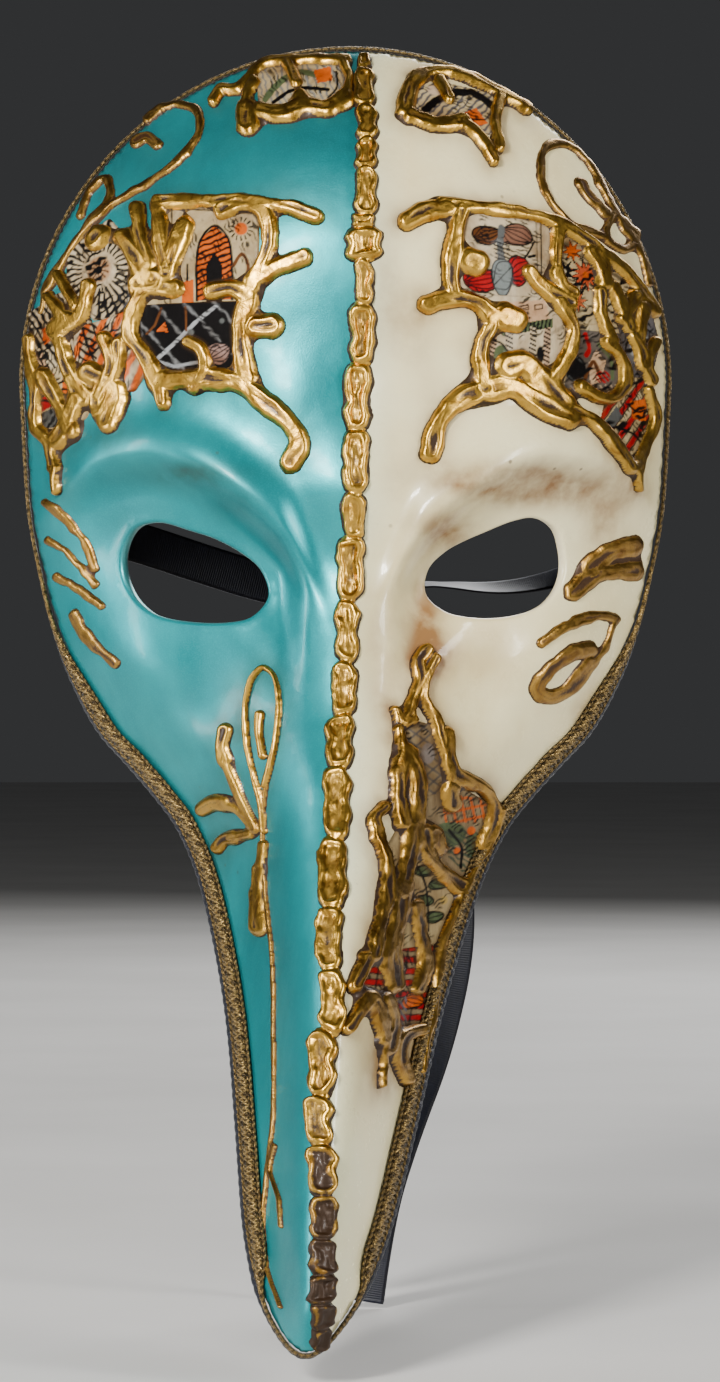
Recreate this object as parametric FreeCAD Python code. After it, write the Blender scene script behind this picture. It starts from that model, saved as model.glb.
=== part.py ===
import FreeCAD, Part

import math
import os

from FreeCAD import Vector

# Long-beaked full-face mask in papier-mache, with piped and gilded stucco, glued paper scraps,
# a bound and braided rim, and two ribbon ties. Millimetres. X is across the face, -Y is where
# the face looks, +Z is up. The origin is where the wearer's eye line meets the plane of the rim.

# ---------------------------------------------------------------- driving dimensions
CROWN_BASE = 45.0        # height above which the outline is half an ellipse
CROWN_HALF = 78.6        # half width of the bare shell there
CROWN_RISE = 79.8        # from CROWN_BASE to the top of the bare shell
TIP_START = -160.0       # height below which the beak closes in a round tip
TIP_LENGTH = 14.5
BEAK_LEAN = 8.0          # how far the tip has wandered to -X
SHELL_THICK = 2.6
EDGE_INSET = 1.6         # bare shell inside the HALF_WIDTH knots, where binding and braid go
CROWN_INSET = 0.9        # the same above the eyes, where the trim lies on the side of the edge
MARGIN = 5.0             # how far the surfaces run past the outline before they are trimmed

CARD_THICK = 0.35
GOLD_HIGH = 1.7          # stucco piping above the shell
STROKE_HIGH = 1.0        # thinner brushed strokes
LINK_HIGH = 2.1          # links of the centre chain
LEFT_SWELL = 1.15        # the brow frames' strokes are this much wider than their lists say
RIGHT_SWELL = 1.16
BRAID_HIGH = 1.5
BRAID_IN = 3.4           # braid from this far inside the shell's edge
BRAID_OUT = 0.8          # to this far outside it
BINDING_OUT = 1.7
CROWN_TRIM = 0.9         # thickness of braid and binding above the eyes
CROWN_SEAM = -1.5        # where they meet there, below the skin
GLUE = 0.05              # gap that keeps the sewn rim trim off the shell
PATCH_THICK = 0.6
RIBBON_WIDTH = 10.0

# ---------------------------------------------------------------- profiles, each as (z, value)
HALF_WIDTH = [(45, 79.5), (18, 78), (-6, 73.8), (-20, 69.8), (-32, 64.5), (-40, 59.6), (-47, 53),
              (-54, 46.5), (-62, 40), (-73, 34.4), (-88, 29.5), (-106, 25), (-130, 20.7),
              (-150, 17), (-165, 12.5), (-176, 9.5)]
RIM_DEPTH = [(126, -14), (80, -4), (45, 0), (0, -1), (-30, -6), (-55, -20), (-80, -40),
             (-105, -60), (-130, -79), (-150, -94), (-172, -113), (-180, -120)]
RIDGE_HEIGHT = [(126, 54), (45, 54), (20, 56), (0, 53), (-20, 56), (-50, 61), (-80, 58),
                (-105, 51), (-130, 42), (-150, 34), (-164, 25), (-172, 14), (-178, 4), (-186, -6)]
RIDGE_SOFTNESS = [(130, 0.30), (-30, 0.34), (-80, 0.42), (-130, 0.5), (-180, 0.7)]
RIDGE_OFFSET = [(130, 5.0), (90, 4.6), (50, 3.4), (15, 2.4), (-15, 1.0), (-40, 0.3),
                (-100, 0.5), (-176, 1.0)]
DOME_POWER = 2.8

# height of the brow's crest and of the socket's upper edge, as (distance from the middle, z)
BROW_CREST = [(0, -16), (8, -4), (16, 8), (29, 19.5), (40, 25.5), (48, 27.5), (58, 26.5),
              (66, 22.5), (76, 14), (90, 0)]

# eye holes, as (x, z)
LEFT_EYE = [(-18.2, -7), (-20.1, -1.1), (-24.5, 2.7), (-31, 6.2), (-36.4, 8), (-44.6, 10.2),
            (-50.1, 8.8), (-52.7, 4.2), (-52.9, -1.1), (-51, -5.9), (-47.8, -9.4), (-44, -11.6),
            (-36.4, -13.1), (-27.6, -13.2), (-21.9, -11.7)]
RIGHT_EYE = [(51.9, -1.1), (51.7, 3.9), (49.8, 8.8), (45.1, 11.1), (39.8, 10.2), (33.3, 7.6),
             (27.6, 5.1), (23.8, 2.9), (19.9, -1.1), (19.3, -6.6), (23.4, -10.4), (28.4, -11.8),
             (36.1, -12.1), (43.1, -10.7), (47.6, -8.4), (50.4, -5.2)]

# ---------------------------------------------------------------- stucco, as (width, [(x, z), ...])
LEFT_BROW_FRAME = [
    (2.6, [(-6.5, 81), (-13, 83.5), (-23.5, 85), (-44, 86.5)]),
    (2.8, [(-28.5, 83), (-24, 84.5), (-19, 82.5), (-17.5, 76), (-19.5, 69.5), (-21.5, 65)]),
    (3.0, [(-21.5, 66), (-15, 69.5), (-9.5, 71.5)]),
    (2.6, [(-44, 86), (-43, 75.5), (-41.5, 70)]),
    (3.3, [(-37.5, 80), (-39.5, 74), (-41.5, 68.5)]),
    (2.4, [(-49.5, 85.5), (-48, 77.5), (-45.5, 71)]),
    (3.6, [(-52.5, 78.5), (-49, 73), (-46.5, 68)]),
    (4.7, [(-48, 66.5), (-44.5, 67)]),
    (3.8, [(-59.5, 78.5), (-58.5, 79.5)]),
    (2.6, [(-61, 67.5), (-62.5, 60.5), (-65.5, 58.5)]),
    (2.2, [(-71.5, 66), (-67, 60)]),
    (1.7, [(-69, 71), (-64, 62.5)]),
    (2.8, [(-39.5, 65), (-46.5, 65), (-50.5, 55.5), (-46.5, 49), (-43.5, 42.5), (-42.5, 38)]),
    (3.3, [(-31, 64), (-26, 64.5), (-22.5, 62), (-24, 57.5), (-24, 51), (-22.5, 43.5)]),
    (4.2, [(-20.5, 55.5), (-17, 55.5)]),
    (2.1, [(-36.5, 52.5), (-33.5, 50.5), (-32.5, 46), (-35, 41.5)]),
    (3.5, [(-43.5, 43.5), (-31.5, 43.5), (-24, 42), (-19, 38), (-13, 33), (-10.5, 28), (-12.5, 23.5)]),
    (2.6, [(-57, 54.5), (-54.5, 48), (-57.5, 40.5)]),
    (2.6, [(-68, 54.5), (-65.5, 47), (-60.5, 41)]),
    (2.9, [(-72.5, 46.5), (-68, 39), (-65, 33)]),
    (3.8, [(-60.5, 46.5), (-54, 41.5), (-56, 34)]),
    (2.2, [(-76.5, 56), (-76, 51), (-74.5, 44), (-74.5, 34.5), (-71, 30.5), (-69.5, 24)]),
    (1.2, [(-69.5, 24), (-69, 18.5)]),
    (3.9, [(-69, 57.5), (-66, 59)]),
    (3.4, [(-63.5, 40), (-66, 34.5), (-68.5, 31)]),
]
RIGHT_BROW_FRAME = [
    (3.3, [(14.5, 80), (19, 82.5), (24, 83)]),
    (2.4, [(22.5, 84), (41.5, 83), (50.5, 81), (58.5, 76.5), (67, 71), (74.5, 62.5)]),
    (3.0, [(27, 83), (25.5, 75.5), (24.5, 69), (25, 63.5)]),
    (5.1, [(29, 71), (30.5, 70.5)]),
    (3.0, [(19, 60.5), (25, 62), (31, 61), (34, 58)]),
    (4.7, [(37.5, 58), (39.5, 57.5)]),
    (2.6, [(34, 56), (31.5, 50.5), (32, 42.5)]),
    (3.5, [(32.5, 41), (26, 38), (21.5, 32.5), (20, 26)]),
    (4.0, [(32.5, 41), (39, 41.5), (45, 38), (52.5, 34.5)]),
    (4.7, [(38, 46.5), (41.5, 47.5), (46, 43), (51, 38)]),
    (2.8, [(43, 69), (46, 65.5), (52.5, 62)]),
    (2.1, [(50, 81), (49.5, 74), (49, 68)]),
    (2.4, [(50, 62), (53.5, 56.5), (52.5, 50.5), (48.5, 44)]),
    (2.1, [(57.5, 75), (60.5, 70.5)]),
    (2.1, [(60, 65.5), (60.5, 60), (63, 54)]),
    (2.2, [(69, 65.5), (65.5, 59.5)]),
    (2.4, [(55.5, 42.5), (62, 40), (66.5, 44), (65.5, 50), (62, 53.5)]),
    (2.2, [(74.5, 55), (72, 49), (73.5, 45.5)]),
    (1.9, [(72.5, 43), (74.5, 36.5), (71.5, 29), (69.5, 23.5)]),
    (1.0, [(69.5, 23.5), (70, 19)]),
    (2.6, [(52.5, 36.5), (58, 34.5), (62, 31), (67.5, 24)]),
]
LEFT_CROWN_FRAME = [
    (1.7, [(-31.5, 111.5), (-29.5, 114.5), (-25.5, 114.5), (-19.5, 121), (-11, 121.5), (0.5, 121)]),
    (3.6, [(-23, 104.5), (-23.5, 108.5)]),
    (1.9, [(-23.5, 108.5), (-23, 113), (-21.5, 116)]),
    (3.1, [(-20, 108), (-14.5, 107), (-9.5, 108.5), (-4, 108), (0, 110.5)]),
    (2.8, [(-10.5, 111), (-9.5, 109)]),
    (1.7, [(0, 110.5), (1, 116), (-0.5, 120.5)]),
    (2.2, [(-13.5, 120.5), (-11.5, 115.5)]),
]
RIGHT_CROWN_FRAME = [
    (2.9, [(14, 107.5), (15.5, 113.5), (18, 117)]),
    (1.9, [(16.5, 116.5), (22.5, 118.5), (30, 117), (37, 113.5), (43.5, 110)]),
    (2.8, [(15.5, 106), (21.5, 104), (27.5, 105)]),
    (2.1, [(27.5, 104.5), (31.5, 101.5), (35, 95.5)]),
    (1.9, [(37, 112.5), (35.5, 106), (36.5, 99)]),
    (2.1, [(22.5, 115.5), (24.5, 111)]),
]
LEFT_TEMPLE_SCROLL = [
    (1.7, [(-72.5, 67.5), (-67.5, 75), (-61, 83.5), (-53.5, 88.5), (-46.5, 92), (-39.5, 97),
           (-35, 103.5), (-35.5, 109.5), (-40, 112), (-45, 111.5), (-48, 109)]),
    (2.4, [(-50.5, 103), (-48, 104), (-45, 101.5)]),
    (1.7, [(-64, 85.5), (-61.5, 92), (-58, 94.5), (-56.5, 89.5), (-61, 83.5)]),
    (1.5, [(-73.5, 62.5), (-71.5, 70), (-67.5, 75)]),
]
RIGHT_TEMPLE_SCROLL = [
    (1.7, [(61, 79.5), (54, 81.5), (48.5, 87), (46.5, 94), (48, 100.5), (52.5, 102), (58.5, 98),
           (63, 90), (67, 83), (71.5, 76.5), (73.5, 69.5)]),
    (2.4, [(56.5, 92), (58.5, 89), (62.5, 85.5)]),
    (1.7, [(64.5, 85.5), (62.5, 79), (67.5, 77), (70.5, 81), (67, 84)]),
]
LEFT_CHEEK_STROKES = [
    (1.7, [(-72.5, 16), (-67, 11.5), (-62.5, 6), (-60, 0)]),
    (1.4, [(-72, 7), (-68, 4.5), (-62.5, -1), (-60, -4)]),
    (1.7, [(-70, -2), (-66, -4), (-58.5, -9)]),
    (2.2, [(-65.5, -11), (-63, -15.5), (-55, -23)]),
]
RIGHT_CHEEK_STROKES = [
    (2.9, [(54, -6), (60, -1.5), (70, -0.5)]),
    (3.1, [(58.5, 0), (63.5, 4), (69.5, 5.5)]),
    (1.7, [(46.5, -18), (54, -13.5), (60.5, -11.5), (65, -12)]),
    (1.0, [(65, -12), (62.5, -19), (57, -25)]),
    (2.4, [(58.5, -19.5), (54, -20.5), (48, -25), (45.5, -29), (48.5, -31), (54, -28.5), (58.5, -23)]),
]
LEFT_NOSE_FLOURISH = [
    (1.0, [(-17.5, -48.5), (-16, -41), (-15, -31.5), (-16, -26), (-18.5, -24.5), (-20.5, -27.5),
           (-23, -34), (-23, -41), (-20.5, -48), (-17.5, -52.5)]),
    (2.1, [(-19, -34.5), (-20, -41)]),
    (3.5, [(-29.5, -38.5), (-27.5, -44), (-26.5, -49.5)]),
    (1.9, [(-27, -49.5), (-23, -56.5), (-20, -61)]),
    (2.1, [(-22, -38), (-22.5, -45.5), (-20.5, -56)]),
    (3.5, [(-34, -56.5), (-29, -56), (-22.5, -60.5)]),
    (3.0, [(-30, -67), (-28, -65), (-20.5, -62.5)]),
    (1.8, [(-18.5, -69), (-20.5, -74.5)]),
    (3.2, [(-20.5, -75.5), (-20, -84)]),
]
LEFT_BEAK_STEM = [
    (0.9, [(-18, -50), (-19, -61.5), (-18, -77.5), (-16.5, -91), (-16, -108.5), (-16, -126),
           (-17, -135), (-18, -147.5), (-17, -158), (-14, -165)]),
    (0.9, [(-15.5, -131.5), (-16.5, -137), (-14.5, -142.5), (-14, -148)]),
]
RIGHT_BEAK_FRAME = [
    (2.6, [(19, -20), (17, -22.5), (17, -27), (15.5, -31.5), (14, -36.5)]),
    (2.1, [(21, -22), (19, -26), (18, -31), (20.5, -36), (22, -42.5), (24, -49.5)]),
    (2.1, [(11.5, -34), (12.5, -36.5), (15.5, -36.5)]),
    (2.1, [(12, -38.5), (13, -43.5)]),
    (3.2, [(13.5, -43.5), (12, -48.5), (12, -55), (13, -59.5)]),
    (3.1, [(23.5, -39.5), (25, -48.5), (28.5, -50.5), (33, -53), (35, -57.5), (34, -61.5), (32, -66)]),
    (4.7, [(24, -52.5), (24.5, -55.5)]),
    (2.5, [(8.5, -56), (6.5, -59), (7.5, -63.5), (9, -68), (9, -76), (7, -83.5), (6, -89)]),
    (3.3, [(17.5, -62), (18.5, -67), (22, -71.5), (26.5, -75.5)]),
    (3.7, [(20, -62.5), (21.5, -66)]),
    (1.9, [(36.5, -57.5), (34, -65), (30, -71.5), (26, -79.5), (22, -89), (20, -101.5),
           (18.5, -108.5), (17, -116.5)]),
    (3.7, [(14.5, -44.5), (16.5, -51), (16, -57.5), (15, -62.5), (14, -68.5), (12.5, -75)]),
    (3.0, [(16, -79), (17, -86), (18, -92.5), (16.5, -98)]),
    (3.1, [(4.5, -89.5), (2, -95)]),
    (2.7, [(0.5, -104.5), (2.5, -101.5), (5, -98)]),
    (2.7, [(5, -98), (7, -101.5), (8.5, -108)]),
    (1.1, [(8.5, -108), (8, -118)]),
    (2.7, [(9, -98.5), (10.5, -104.5), (9.5, -110)]),
    (3.0, [(18, -107.5), (13.5, -108), (12, -112.5), (14, -118)]),
    (4.1, [(12, -74.5), (11.5, -81.5), (10, -88), (11, -96)]),
]

# centre chain, as (x, top z, bottom z, width) of each link from the crown down to the tip
CHAIN = [
    (4.5, 122.0, 118.8, 3.2), (4.5, 118.2, 108.5, 5), (5.2, 108, 100, 5), (5, 99.6, 93, 5),
    (5, 92.6, 81.5, 5.4), (4.4, 81.2, 78.6, 5.4), (4.5, 78.2, 71, 9), (4.5, 70.6, 61, 4.6),
    (4, 60.6, 46.8, 6.4), (3, 46.4, 31, 6.8), (2.5, 30.6, 16.6, 6.4), (2.2, 16.2, 6.4, 5.4),
    (1.2, 6, -8.6, 6.4), (0.5, -9, -22.8, 5.6), (0, -23.2, -35, 6), (-1, -35.4, -47, 6.4),
    (-1.8, -47.4, -62.8, 6.4), (-2.5, -63.2, -78.4, 6.4), (-3.2, -78.8, -91.8, 5.6),
    (-2.6, -92.2, -105, 5.6), (-4.6, -105.4, -118.8, 5.6), (-5.3, -119.2, -129.2, 5.8),
    (-4.6, -129.6, -139.8, 6), (-4.6, -140.2, -148.8, 5), (-4.7, -149.2, -156.4, 5),
    (-4.9, -156.8, -162.4, 5), (-5, -162.8, -168, 4.4), (-5.2, -168.3, -172.6, 3.4),
]
FOREHEAD_LINKS = 9       # links above the brow
NOSE_LINKS = 8           # links between the brow and the beak

# ---------------------------------------------------------------- paper scraps, as [(x, z), ...]
CARDS = {
    "left_brow_arch_print": [(-42, 86), (-20.5, 83), (-20.8, 61.8), (-47, 61.8), (-47.5, 65),
                             (-41, 70)],
    "left_brow_night_print": [(-49.5, 61.3), (-23.2, 61.3), (-23.4, 43.6), (-43.5, 44.6),
                              (-50.5, 54)],
    "left_brow_sunburst_print": [(-66.5, 76.5), (-56.5, 83), (-48.5, 73), (-48.2, 66),
                                 (-51, 61.8), (-56, 59.4), (-59.8, 59.4), (-66.5, 66.5)],
    "left_brow_striped_print": [(-64.5, 57), (-57, 58.4), (-51, 60.2), (-51.5, 53.8),
                                (-46.8, 46.4), (-50, 41.8), (-59.2, 41.6), (-64, 47.5)],
    "left_brow_hatched_print": [(-76.5, 62), (-69, 66), (-66.8, 65.6), (-61, 58.6),
                                (-65.4, 57.2), (-65, 48.8), (-69, 48.8), (-73.5, 46.2),
                                (-76, 51)],
    "left_brow_red_print": [(-74.3, 45), (-69, 48.2), (-64.8, 47.5), (-59.8, 40.8), (-62, 36),
                            (-68, 31.5), (-73.5, 34)],
    "right_brow_arch_print": [(27.2, 82.8), (47.6, 82.2), (48.4, 66.8), (47.9, 63.2),
                              (27, 63.2)],
    "right_brow_table_print": [(31.5, 62.8), (48.1, 62.8), (50.6, 58), (51.6, 54), (50, 46),
                               (48.8, 43.2), (34.5, 41.6), (32.4, 43), (32.2, 52.5)],
    "right_brow_star_print": [(49, 81), (58.5, 76.6), (67.2, 70.6), (68, 64), (64.8, 58.5),
                              (55, 57.3), (51.4, 58.4), (48.7, 64)],
    "right_brow_flask_print": [(52.6, 56.6), (64.3, 57.9), (66.2, 52), (66.8, 45.4),
                               (62, 40.8), (51, 41.2), (49.8, 43.4), (52.3, 50)],
    "right_brow_flower_print": [(65.4, 57.4), (68.8, 64), (68.2, 69), (73, 64.5),
                                (75.6, 54.5), (73.4, 46.2), (67.4, 46.2)],
    "right_brow_red_print": [(62.8, 40.2), (67.4, 45.4), (73, 45.6), (74, 36), (70.5, 25.5),
                             (61, 33.6)],
    "left_crown_print": [(-21, 120.5), (-0.5, 120.8), (0, 110), (-10.5, 109), (-20, 109)],
    "right_crown_print": [(16.5, 116.5), (37, 112.5), (36, 102.5), (29.5, 104), (17, 106)],
    "beak_diamond_print": [(15, -36.5), (20.5, -38), (23.6, -49.5), (22.5, -53), (13.8, -54),
                           (13.5, -46)],
    "beak_lattice_print": [(16.4, -54.6), (26.5, -52.2), (34.5, -57), (32.8, -65),
                           (27.3, -73.8), (21, -66), (16.5, -61)],
    "beak_foliage_print": [(12, -62), (15.6, -61.6), (20.4, -66.6), (26.6, -74.6),
                           (23.4, -81.5), (20.6, -87.8), (8.6, -88), (10.4, -76),
                           (9.6, -66)],
    "beak_brick_print": [(6, -88.8), (20, -88.8), (19.6, -99), (18, -107), (12, -107.8),
                         (8, -103), (4.5, -96)],
}

# ---------------------------------------------------------------- ribbons
TEMPLE_PATCH = [(60, 15), (71, 15), (71, 2), (60, 2)]
KNOT_CENTRE = Vector(3, 14, -6)
KNOT_HALF = Vector(8, 5, 7)
LEFT_RIBBON = [(-66, -14, 10), (-62, -2, 9.5), (-51, 5, 7), (-36, 9, 2), (-20, 12, -3),
               (-4, 14, -6), (3, 14.5, -13), (1, 15, -30), (-4, 15, -52), (-7, 14.5, -78),
               (-5, 14.5, -105), (-8, 15, -132), (-6, 15, -158)]
RIGHT_RIBBON = [(66, -14, 6), (62, -2, 2.5), (52, 5, -2), (38, 9, -4.5), (22, 12, -3),
                (9, 14, -4), (4, 13.5, -11), (8, 13, -27), (18, 13, -48), (26, 13, -70),
                (27.5, 13, -92), (22, 13, -117), (13, 13, -140), (7, 13, -160), (4.5, 13, -180)]


# ---------------------------------------------------------------- the moulded surface
def smooth(t):
    """0 to 1, level at both ends."""
    t = min(max(t, 0.0), 1.0)
    return t * t * (3 - 2 * t)


def along(knots, z):
    """The value at height z of a monotone cubic through (z, value) knots, straight past the ends."""
    knots = sorted(knots)
    slopes = [(b[1] - a[1]) / (b[0] - a[0]) for a, b in zip(knots, knots[1:])]
    tangents = [slopes[0]]
    for before, after in zip(slopes, slopes[1:]):
        turning = before * after <= 0
        tangents.append(0.0 if turning else 2 * before * after / (before + after))
    tangents.append(slopes[-1])
    if z <= knots[0][0]:
        return knots[0][1] + tangents[0] * (z - knots[0][0])
    if z >= knots[-1][0]:
        return knots[-1][1] + tangents[-1] * (z - knots[-1][0])
    i = max(k for k in range(len(knots) - 1) if knots[k][0] <= z)
    gap = knots[i + 1][0] - knots[i][0]
    t = (z - knots[i][0]) / gap
    return ((2 * t**3 - 3 * t**2 + 1) * knots[i][1]
            + (t**3 - 2 * t**2 + t) * gap * tangents[i]
            + (3 * t**2 - 2 * t**3) * knots[i + 1][1]
            + (t**3 - t**2) * gap * tangents[i + 1])


def centre_x(z):
    """The middle of the rim: the beak wanders to -X towards its tip."""
    t = min(max((-20 - z) / 150, 0.0), 1.2)
    return -BEAK_LEAN * t * t


def half_width(z):
    return along(HALF_WIDTH, min(z, CROWN_BASE))


def mound(across, z, at, size, turn=0.0):
    """A smooth hill of height 1 at (across, z), size its two half widths, turned in its plane."""
    dx = across - at[0]
    dz = z - at[1]
    p = (dx * math.cos(turn) + dz * math.sin(turn)) / size[0]
    q = (dz * math.cos(turn) - dx * math.sin(turn)) / size[1]
    return math.exp(-p * p - q * q)


def face_depth(x, z):
    """The y of the outer surface at (x, z)."""
    half = half_width(z)
    offset = along(RIDGE_OFFSET, z)
    u = (x - centre_x(z)) / half
    u -= offset / half * min(max(1 - u * u, 0.0), 1.0)
    top = max(z - CROWN_BASE, 0.0) / (CROWN_RISE + 1.9)
    radius = math.hypot(u, top)
    k = along(RIDGE_SOFTNESS, z)
    ridge = (math.hypot(u, k) - k) / (math.hypot(1, k) - k)
    flared = (1 - math.cos(math.pi * min(abs(u), 1.25))) / 2
    flare = 0.8 * smooth((-30 - z) / 50)
    beaked = smooth((18 - z) / 75)
    fall = (1 - beaked) * radius**DOME_POWER + beaked * ((1 - flare) * ridge + flare * flared)
    y = along(RIM_DEPTH, z) - along(RIDGE_HEIGHT, z) * (1 - fall)
    side = abs(x - 0.6 * offset)
    over = z - along(BROW_CREST, side)
    brow = math.exp(-(over / (8.5 if over > 0 else 6)) ** 2)
    brow *= smooth((side - 3) / 14) * smooth((80 - side) / 18)
    socket = smooth(-over / 11) * math.exp(-max(-over - 14, 0.0) ** 2 / 230)
    socket *= smooth((side - 9) / 8) * smooth((72 - side) / 20)
    bridge = math.exp(-(side / 12) ** 2) * smooth((z + 60) / 40) * smooth((40 - z) / 26)
    y -= 5.2 * brow
    y -= 3.5 * bridge
    y += 5.5 * socket
    y += 2.5 * mound(side, z, (34, 0), (22, 15), -0.12)
    y -= 4.2 * mound(side, z, (49, -21), (18, 12), 0.35)
    y += 3.0 * mound(side, z, (31, -30), (10, 24), -0.55)
    y -= 2.0 * mound(side, z, (12, 40), (12, 11))
    return y


def outward(x, z):
    """The unit normal of the outer surface, away from the wearer."""
    step = 0.25
    slope_x = (face_depth(x + step, z) - face_depth(x - step, z)) / (2 * step)
    slope_z = (face_depth(x, z + step) - face_depth(x, z - step)) / (2 * step)
    return Vector(slope_x, -1, slope_z).normalize()


# ---------------------------------------------------------------- surfaces and layers
ROWS = 54
COLUMNS = 34
TOP_Z = 131.0
BOTTOM_Z = -182.0


def surface_grid():
    """Points of the outer surface and its normals there, in rows from the top down."""
    rows = []
    for i in range(ROWS + 1):
        z = TOP_Z + (BOTTOM_Z - TOP_Z) * i / ROWS
        reach = half_width(z) + MARGIN
        row = []
        for j in range(COLUMNS + 1):
            x = centre_x(z) + reach * (2 * j / COLUMNS - 1)
            row.append((Vector(x, face_depth(x, z), z), outward(x, z)))
        rows.append(row)
    return rows


GRID = surface_grid()
SURFACES = {}


def surface_at(height):
    """The outer surface moved out along its normals."""
    if height not in SURFACES:
        surface = Part.BSplineSurface()
        surface.interpolate([[p + n * height for p, n in row] for row in GRID])
        SURFACES[height] = surface
    return SURFACES[height]


def layer(low, high):
    """The closed solid between two heights, over the whole surface and its margin."""
    inner = surface_at(low)
    outer = surface_at(high)
    faces = [inner.toShape(), outer.toShape()]
    u0, u1, v0, v1 = inner.bounds()
    sides = [(s.uIso(u0), s.uIso(u1), s.vIso(v0), s.vIso(v1)) for s in (inner, outer)]
    for a, b in zip(*sides):
        faces.append(Part.makeRuledSurface(a.toShape(), b.toShape()))
    shell = Part.makeShell(faces)
    shell.sewShape()
    solid = Part.makeSolid(shell)
    if solid.Volume < 0:
        solid.reverse()
    return solid


# ---------------------------------------------------------------- outlines in the X-Z plane
FRONT = -170.0           # every prism runs along Y from here
PRISM_LENGTH = 330.0


def flat(points):
    return [Vector(x, FRONT, z) for x, z in points]


def closed_curve(points):
    """A face inside a smooth closed curve."""
    curve = Part.BSplineCurve()
    curve.interpolate(Points=flat(points), PeriodicFlag=True)
    return Part.Face(Part.Wire([curve.toShape()]))


def polygon(points):
    corners = flat(points)
    return Part.Face(Part.makePolygon(corners + corners[:1]))


def stroke(width, points):
    """A face of even width along a smooth line, with round ends."""
    line = Part.BSplineCurve()
    if len(points) > 2:
        line.interpolate(flat(points))
    else:
        line.buildFromPoles(flat(points), False, 1)
    start, end = line.FirstParameter, line.LastParameter
    steps = 4 * len(points)
    sides = ([], [])
    for i in range(steps + 1):
        t = start + (end - start) * i / steps
        point = line.value(t)
        ahead = Vector(*line.tangent(t)[0])
        across = Vector(-ahead.z, 0, ahead.x)
        sides[0].append(point + across * (width / 2))
        sides[1].append(point - across * (width / 2))
    edges = []
    for side in sides:
        curve = Part.BSplineCurve()
        curve.interpolate(side)
        edges.append(curve.toShape())
    for t, k, sign in ((start, 0, -1), (end, -1, 1)):
        ahead = Vector(*line.tangent(t)[0])
        cap = line.value(t) + ahead * (sign * width / 2)
        edges.append(Part.Arc(sides[0][k], cap, sides[1][k]).toShape())
    return Part.Face(Part.Wire(Part.__sortEdges__(edges)))


def prism(face):
    return face.extrude(Vector(0, PRISM_LENGTH, 0))


def above_eyes(z):
    """0 where braid and binding lie on the face, 1 where they lie on the side of the edge."""
    return smooth((z + 35) / 50)


def inset(z):
    return EDGE_INSET + (CROWN_INSET - EDGE_INSET) * above_eyes(z)


def edge_point(turn, outset):
    """A point of the shell's edge, moved outward. turn goes from 0 at the top, once round by +X."""
    if turn > 0.5:
        x, z = edge_point(1 - turn, outset)
        return 2 * centre_x(z) - x, z
    crown = 0.26
    if turn < crown:
        angle = math.pi / 2 * turn / crown
        return ((CROWN_HALF + outset) * math.sin(angle),
                CROWN_BASE + (CROWN_RISE + outset) * math.cos(angle))
    start = 0.46
    if turn < start:
        z = CROWN_BASE + (TIP_START - CROWN_BASE) * (turn - crown) / (start - crown)
        slope = (half_width(z + 0.5) - half_width(z - 0.5))
        push = (outset - inset(z)) * math.hypot(1, slope)
        return centre_x(z) + half_width(z) + push, z
    angle = math.pi / 2 * (turn - start) / (0.5 - start)
    slope = (half_width(TIP_START + 0.5) - half_width(TIP_START - 0.5))
    half = half_width(TIP_START) + (outset - EDGE_INSET) * math.hypot(1, slope)
    z = TIP_START - (TIP_LENGTH + outset) * math.sin(angle)
    return centre_x(z) + half * math.cos(angle) + slope * (z - TIP_START) * math.cos(angle), z


EDGE_STEPS = 96
OUTLINE_START = 48       # the step where the shell's outline begins and ends, at the tip


def edge_outline(outset):
    steps = [(OUTLINE_START + i) % EDGE_STEPS for i in range(EDGE_STEPS)]
    return closed_curve([edge_point(i / EDGE_STEPS, outset) for i in steps])


def trim_point(turn, outset, height):
    """A point near the rim, outset from the shell's edge and height above its skin."""
    x, z = edge_point(turn, outset)
    return Vector(x, face_depth(x, z) + height / outward(x, z).y, z)


def edge_on(z, late=0.0):
    """0 where the braid lies on the face, 1 above the eyes and at the tip: it is on the side there."""
    return max(smooth((z + 35 - 23 * late) / (25 + 5 * late)), smooth((-152 - 3 * late - z) / 16))


def braid_corner(turn, outer, upper):
    """A corner of the braid's section. It slides off the face before it drops down the side."""
    z = edge_point(turn, 0.0)[1]
    slide = edge_on(z)
    drop = edge_on(z, 1.0)
    out = BRAID_OUT + (CROWN_TRIM - BRAID_OUT) * slide if outer else GLUE
    if not outer:
        out = -BRAID_IN + (GLUE + BRAID_IN) * slide
    height = BRAID_HIGH if upper else GLUE
    low = -GLUE if upper else CROWN_SEAM + GLUE
    return trim_point(turn, out, height + (low - height) * drop)


def binding_corner(turn, outer, upper):
    """A corner of the binding's section: all of the edge, or its rear part under the braid."""
    z = edge_point(turn, 0.0)[1]
    out = BINDING_OUT + (CROWN_TRIM - BINDING_OUT) * above_eyes(z) if outer else GLUE
    if not upper:
        return trim_point(turn, out, -SHELL_THICK)
    return trim_point(turn, out, CROWN_SEAM * edge_on(z, 1.0))


def rim_band(corner):
    """A closed ring of four-sided section along the rim."""
    sides = []
    for outer, upper in ((True, False), (True, True), (False, True), (False, False)):
        curve = Part.BSplineCurve()
        points = [corner(i / EDGE_STEPS, outer, upper) for i in range(EDGE_STEPS)]
        curve.interpolate(Points=points, PeriodicFlag=True)
        sides.append(curve.toShape())
    faces = [Part.makeRuledSurface(a, b) for a, b in zip(sides, sides[1:] + sides[:1])]
    shell = Part.makeShell(faces)
    shell.sewShape()
    solid = Part.makeSolid(shell)
    if solid.Volume < 0:
        solid.reverse()
    return solid


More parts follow.
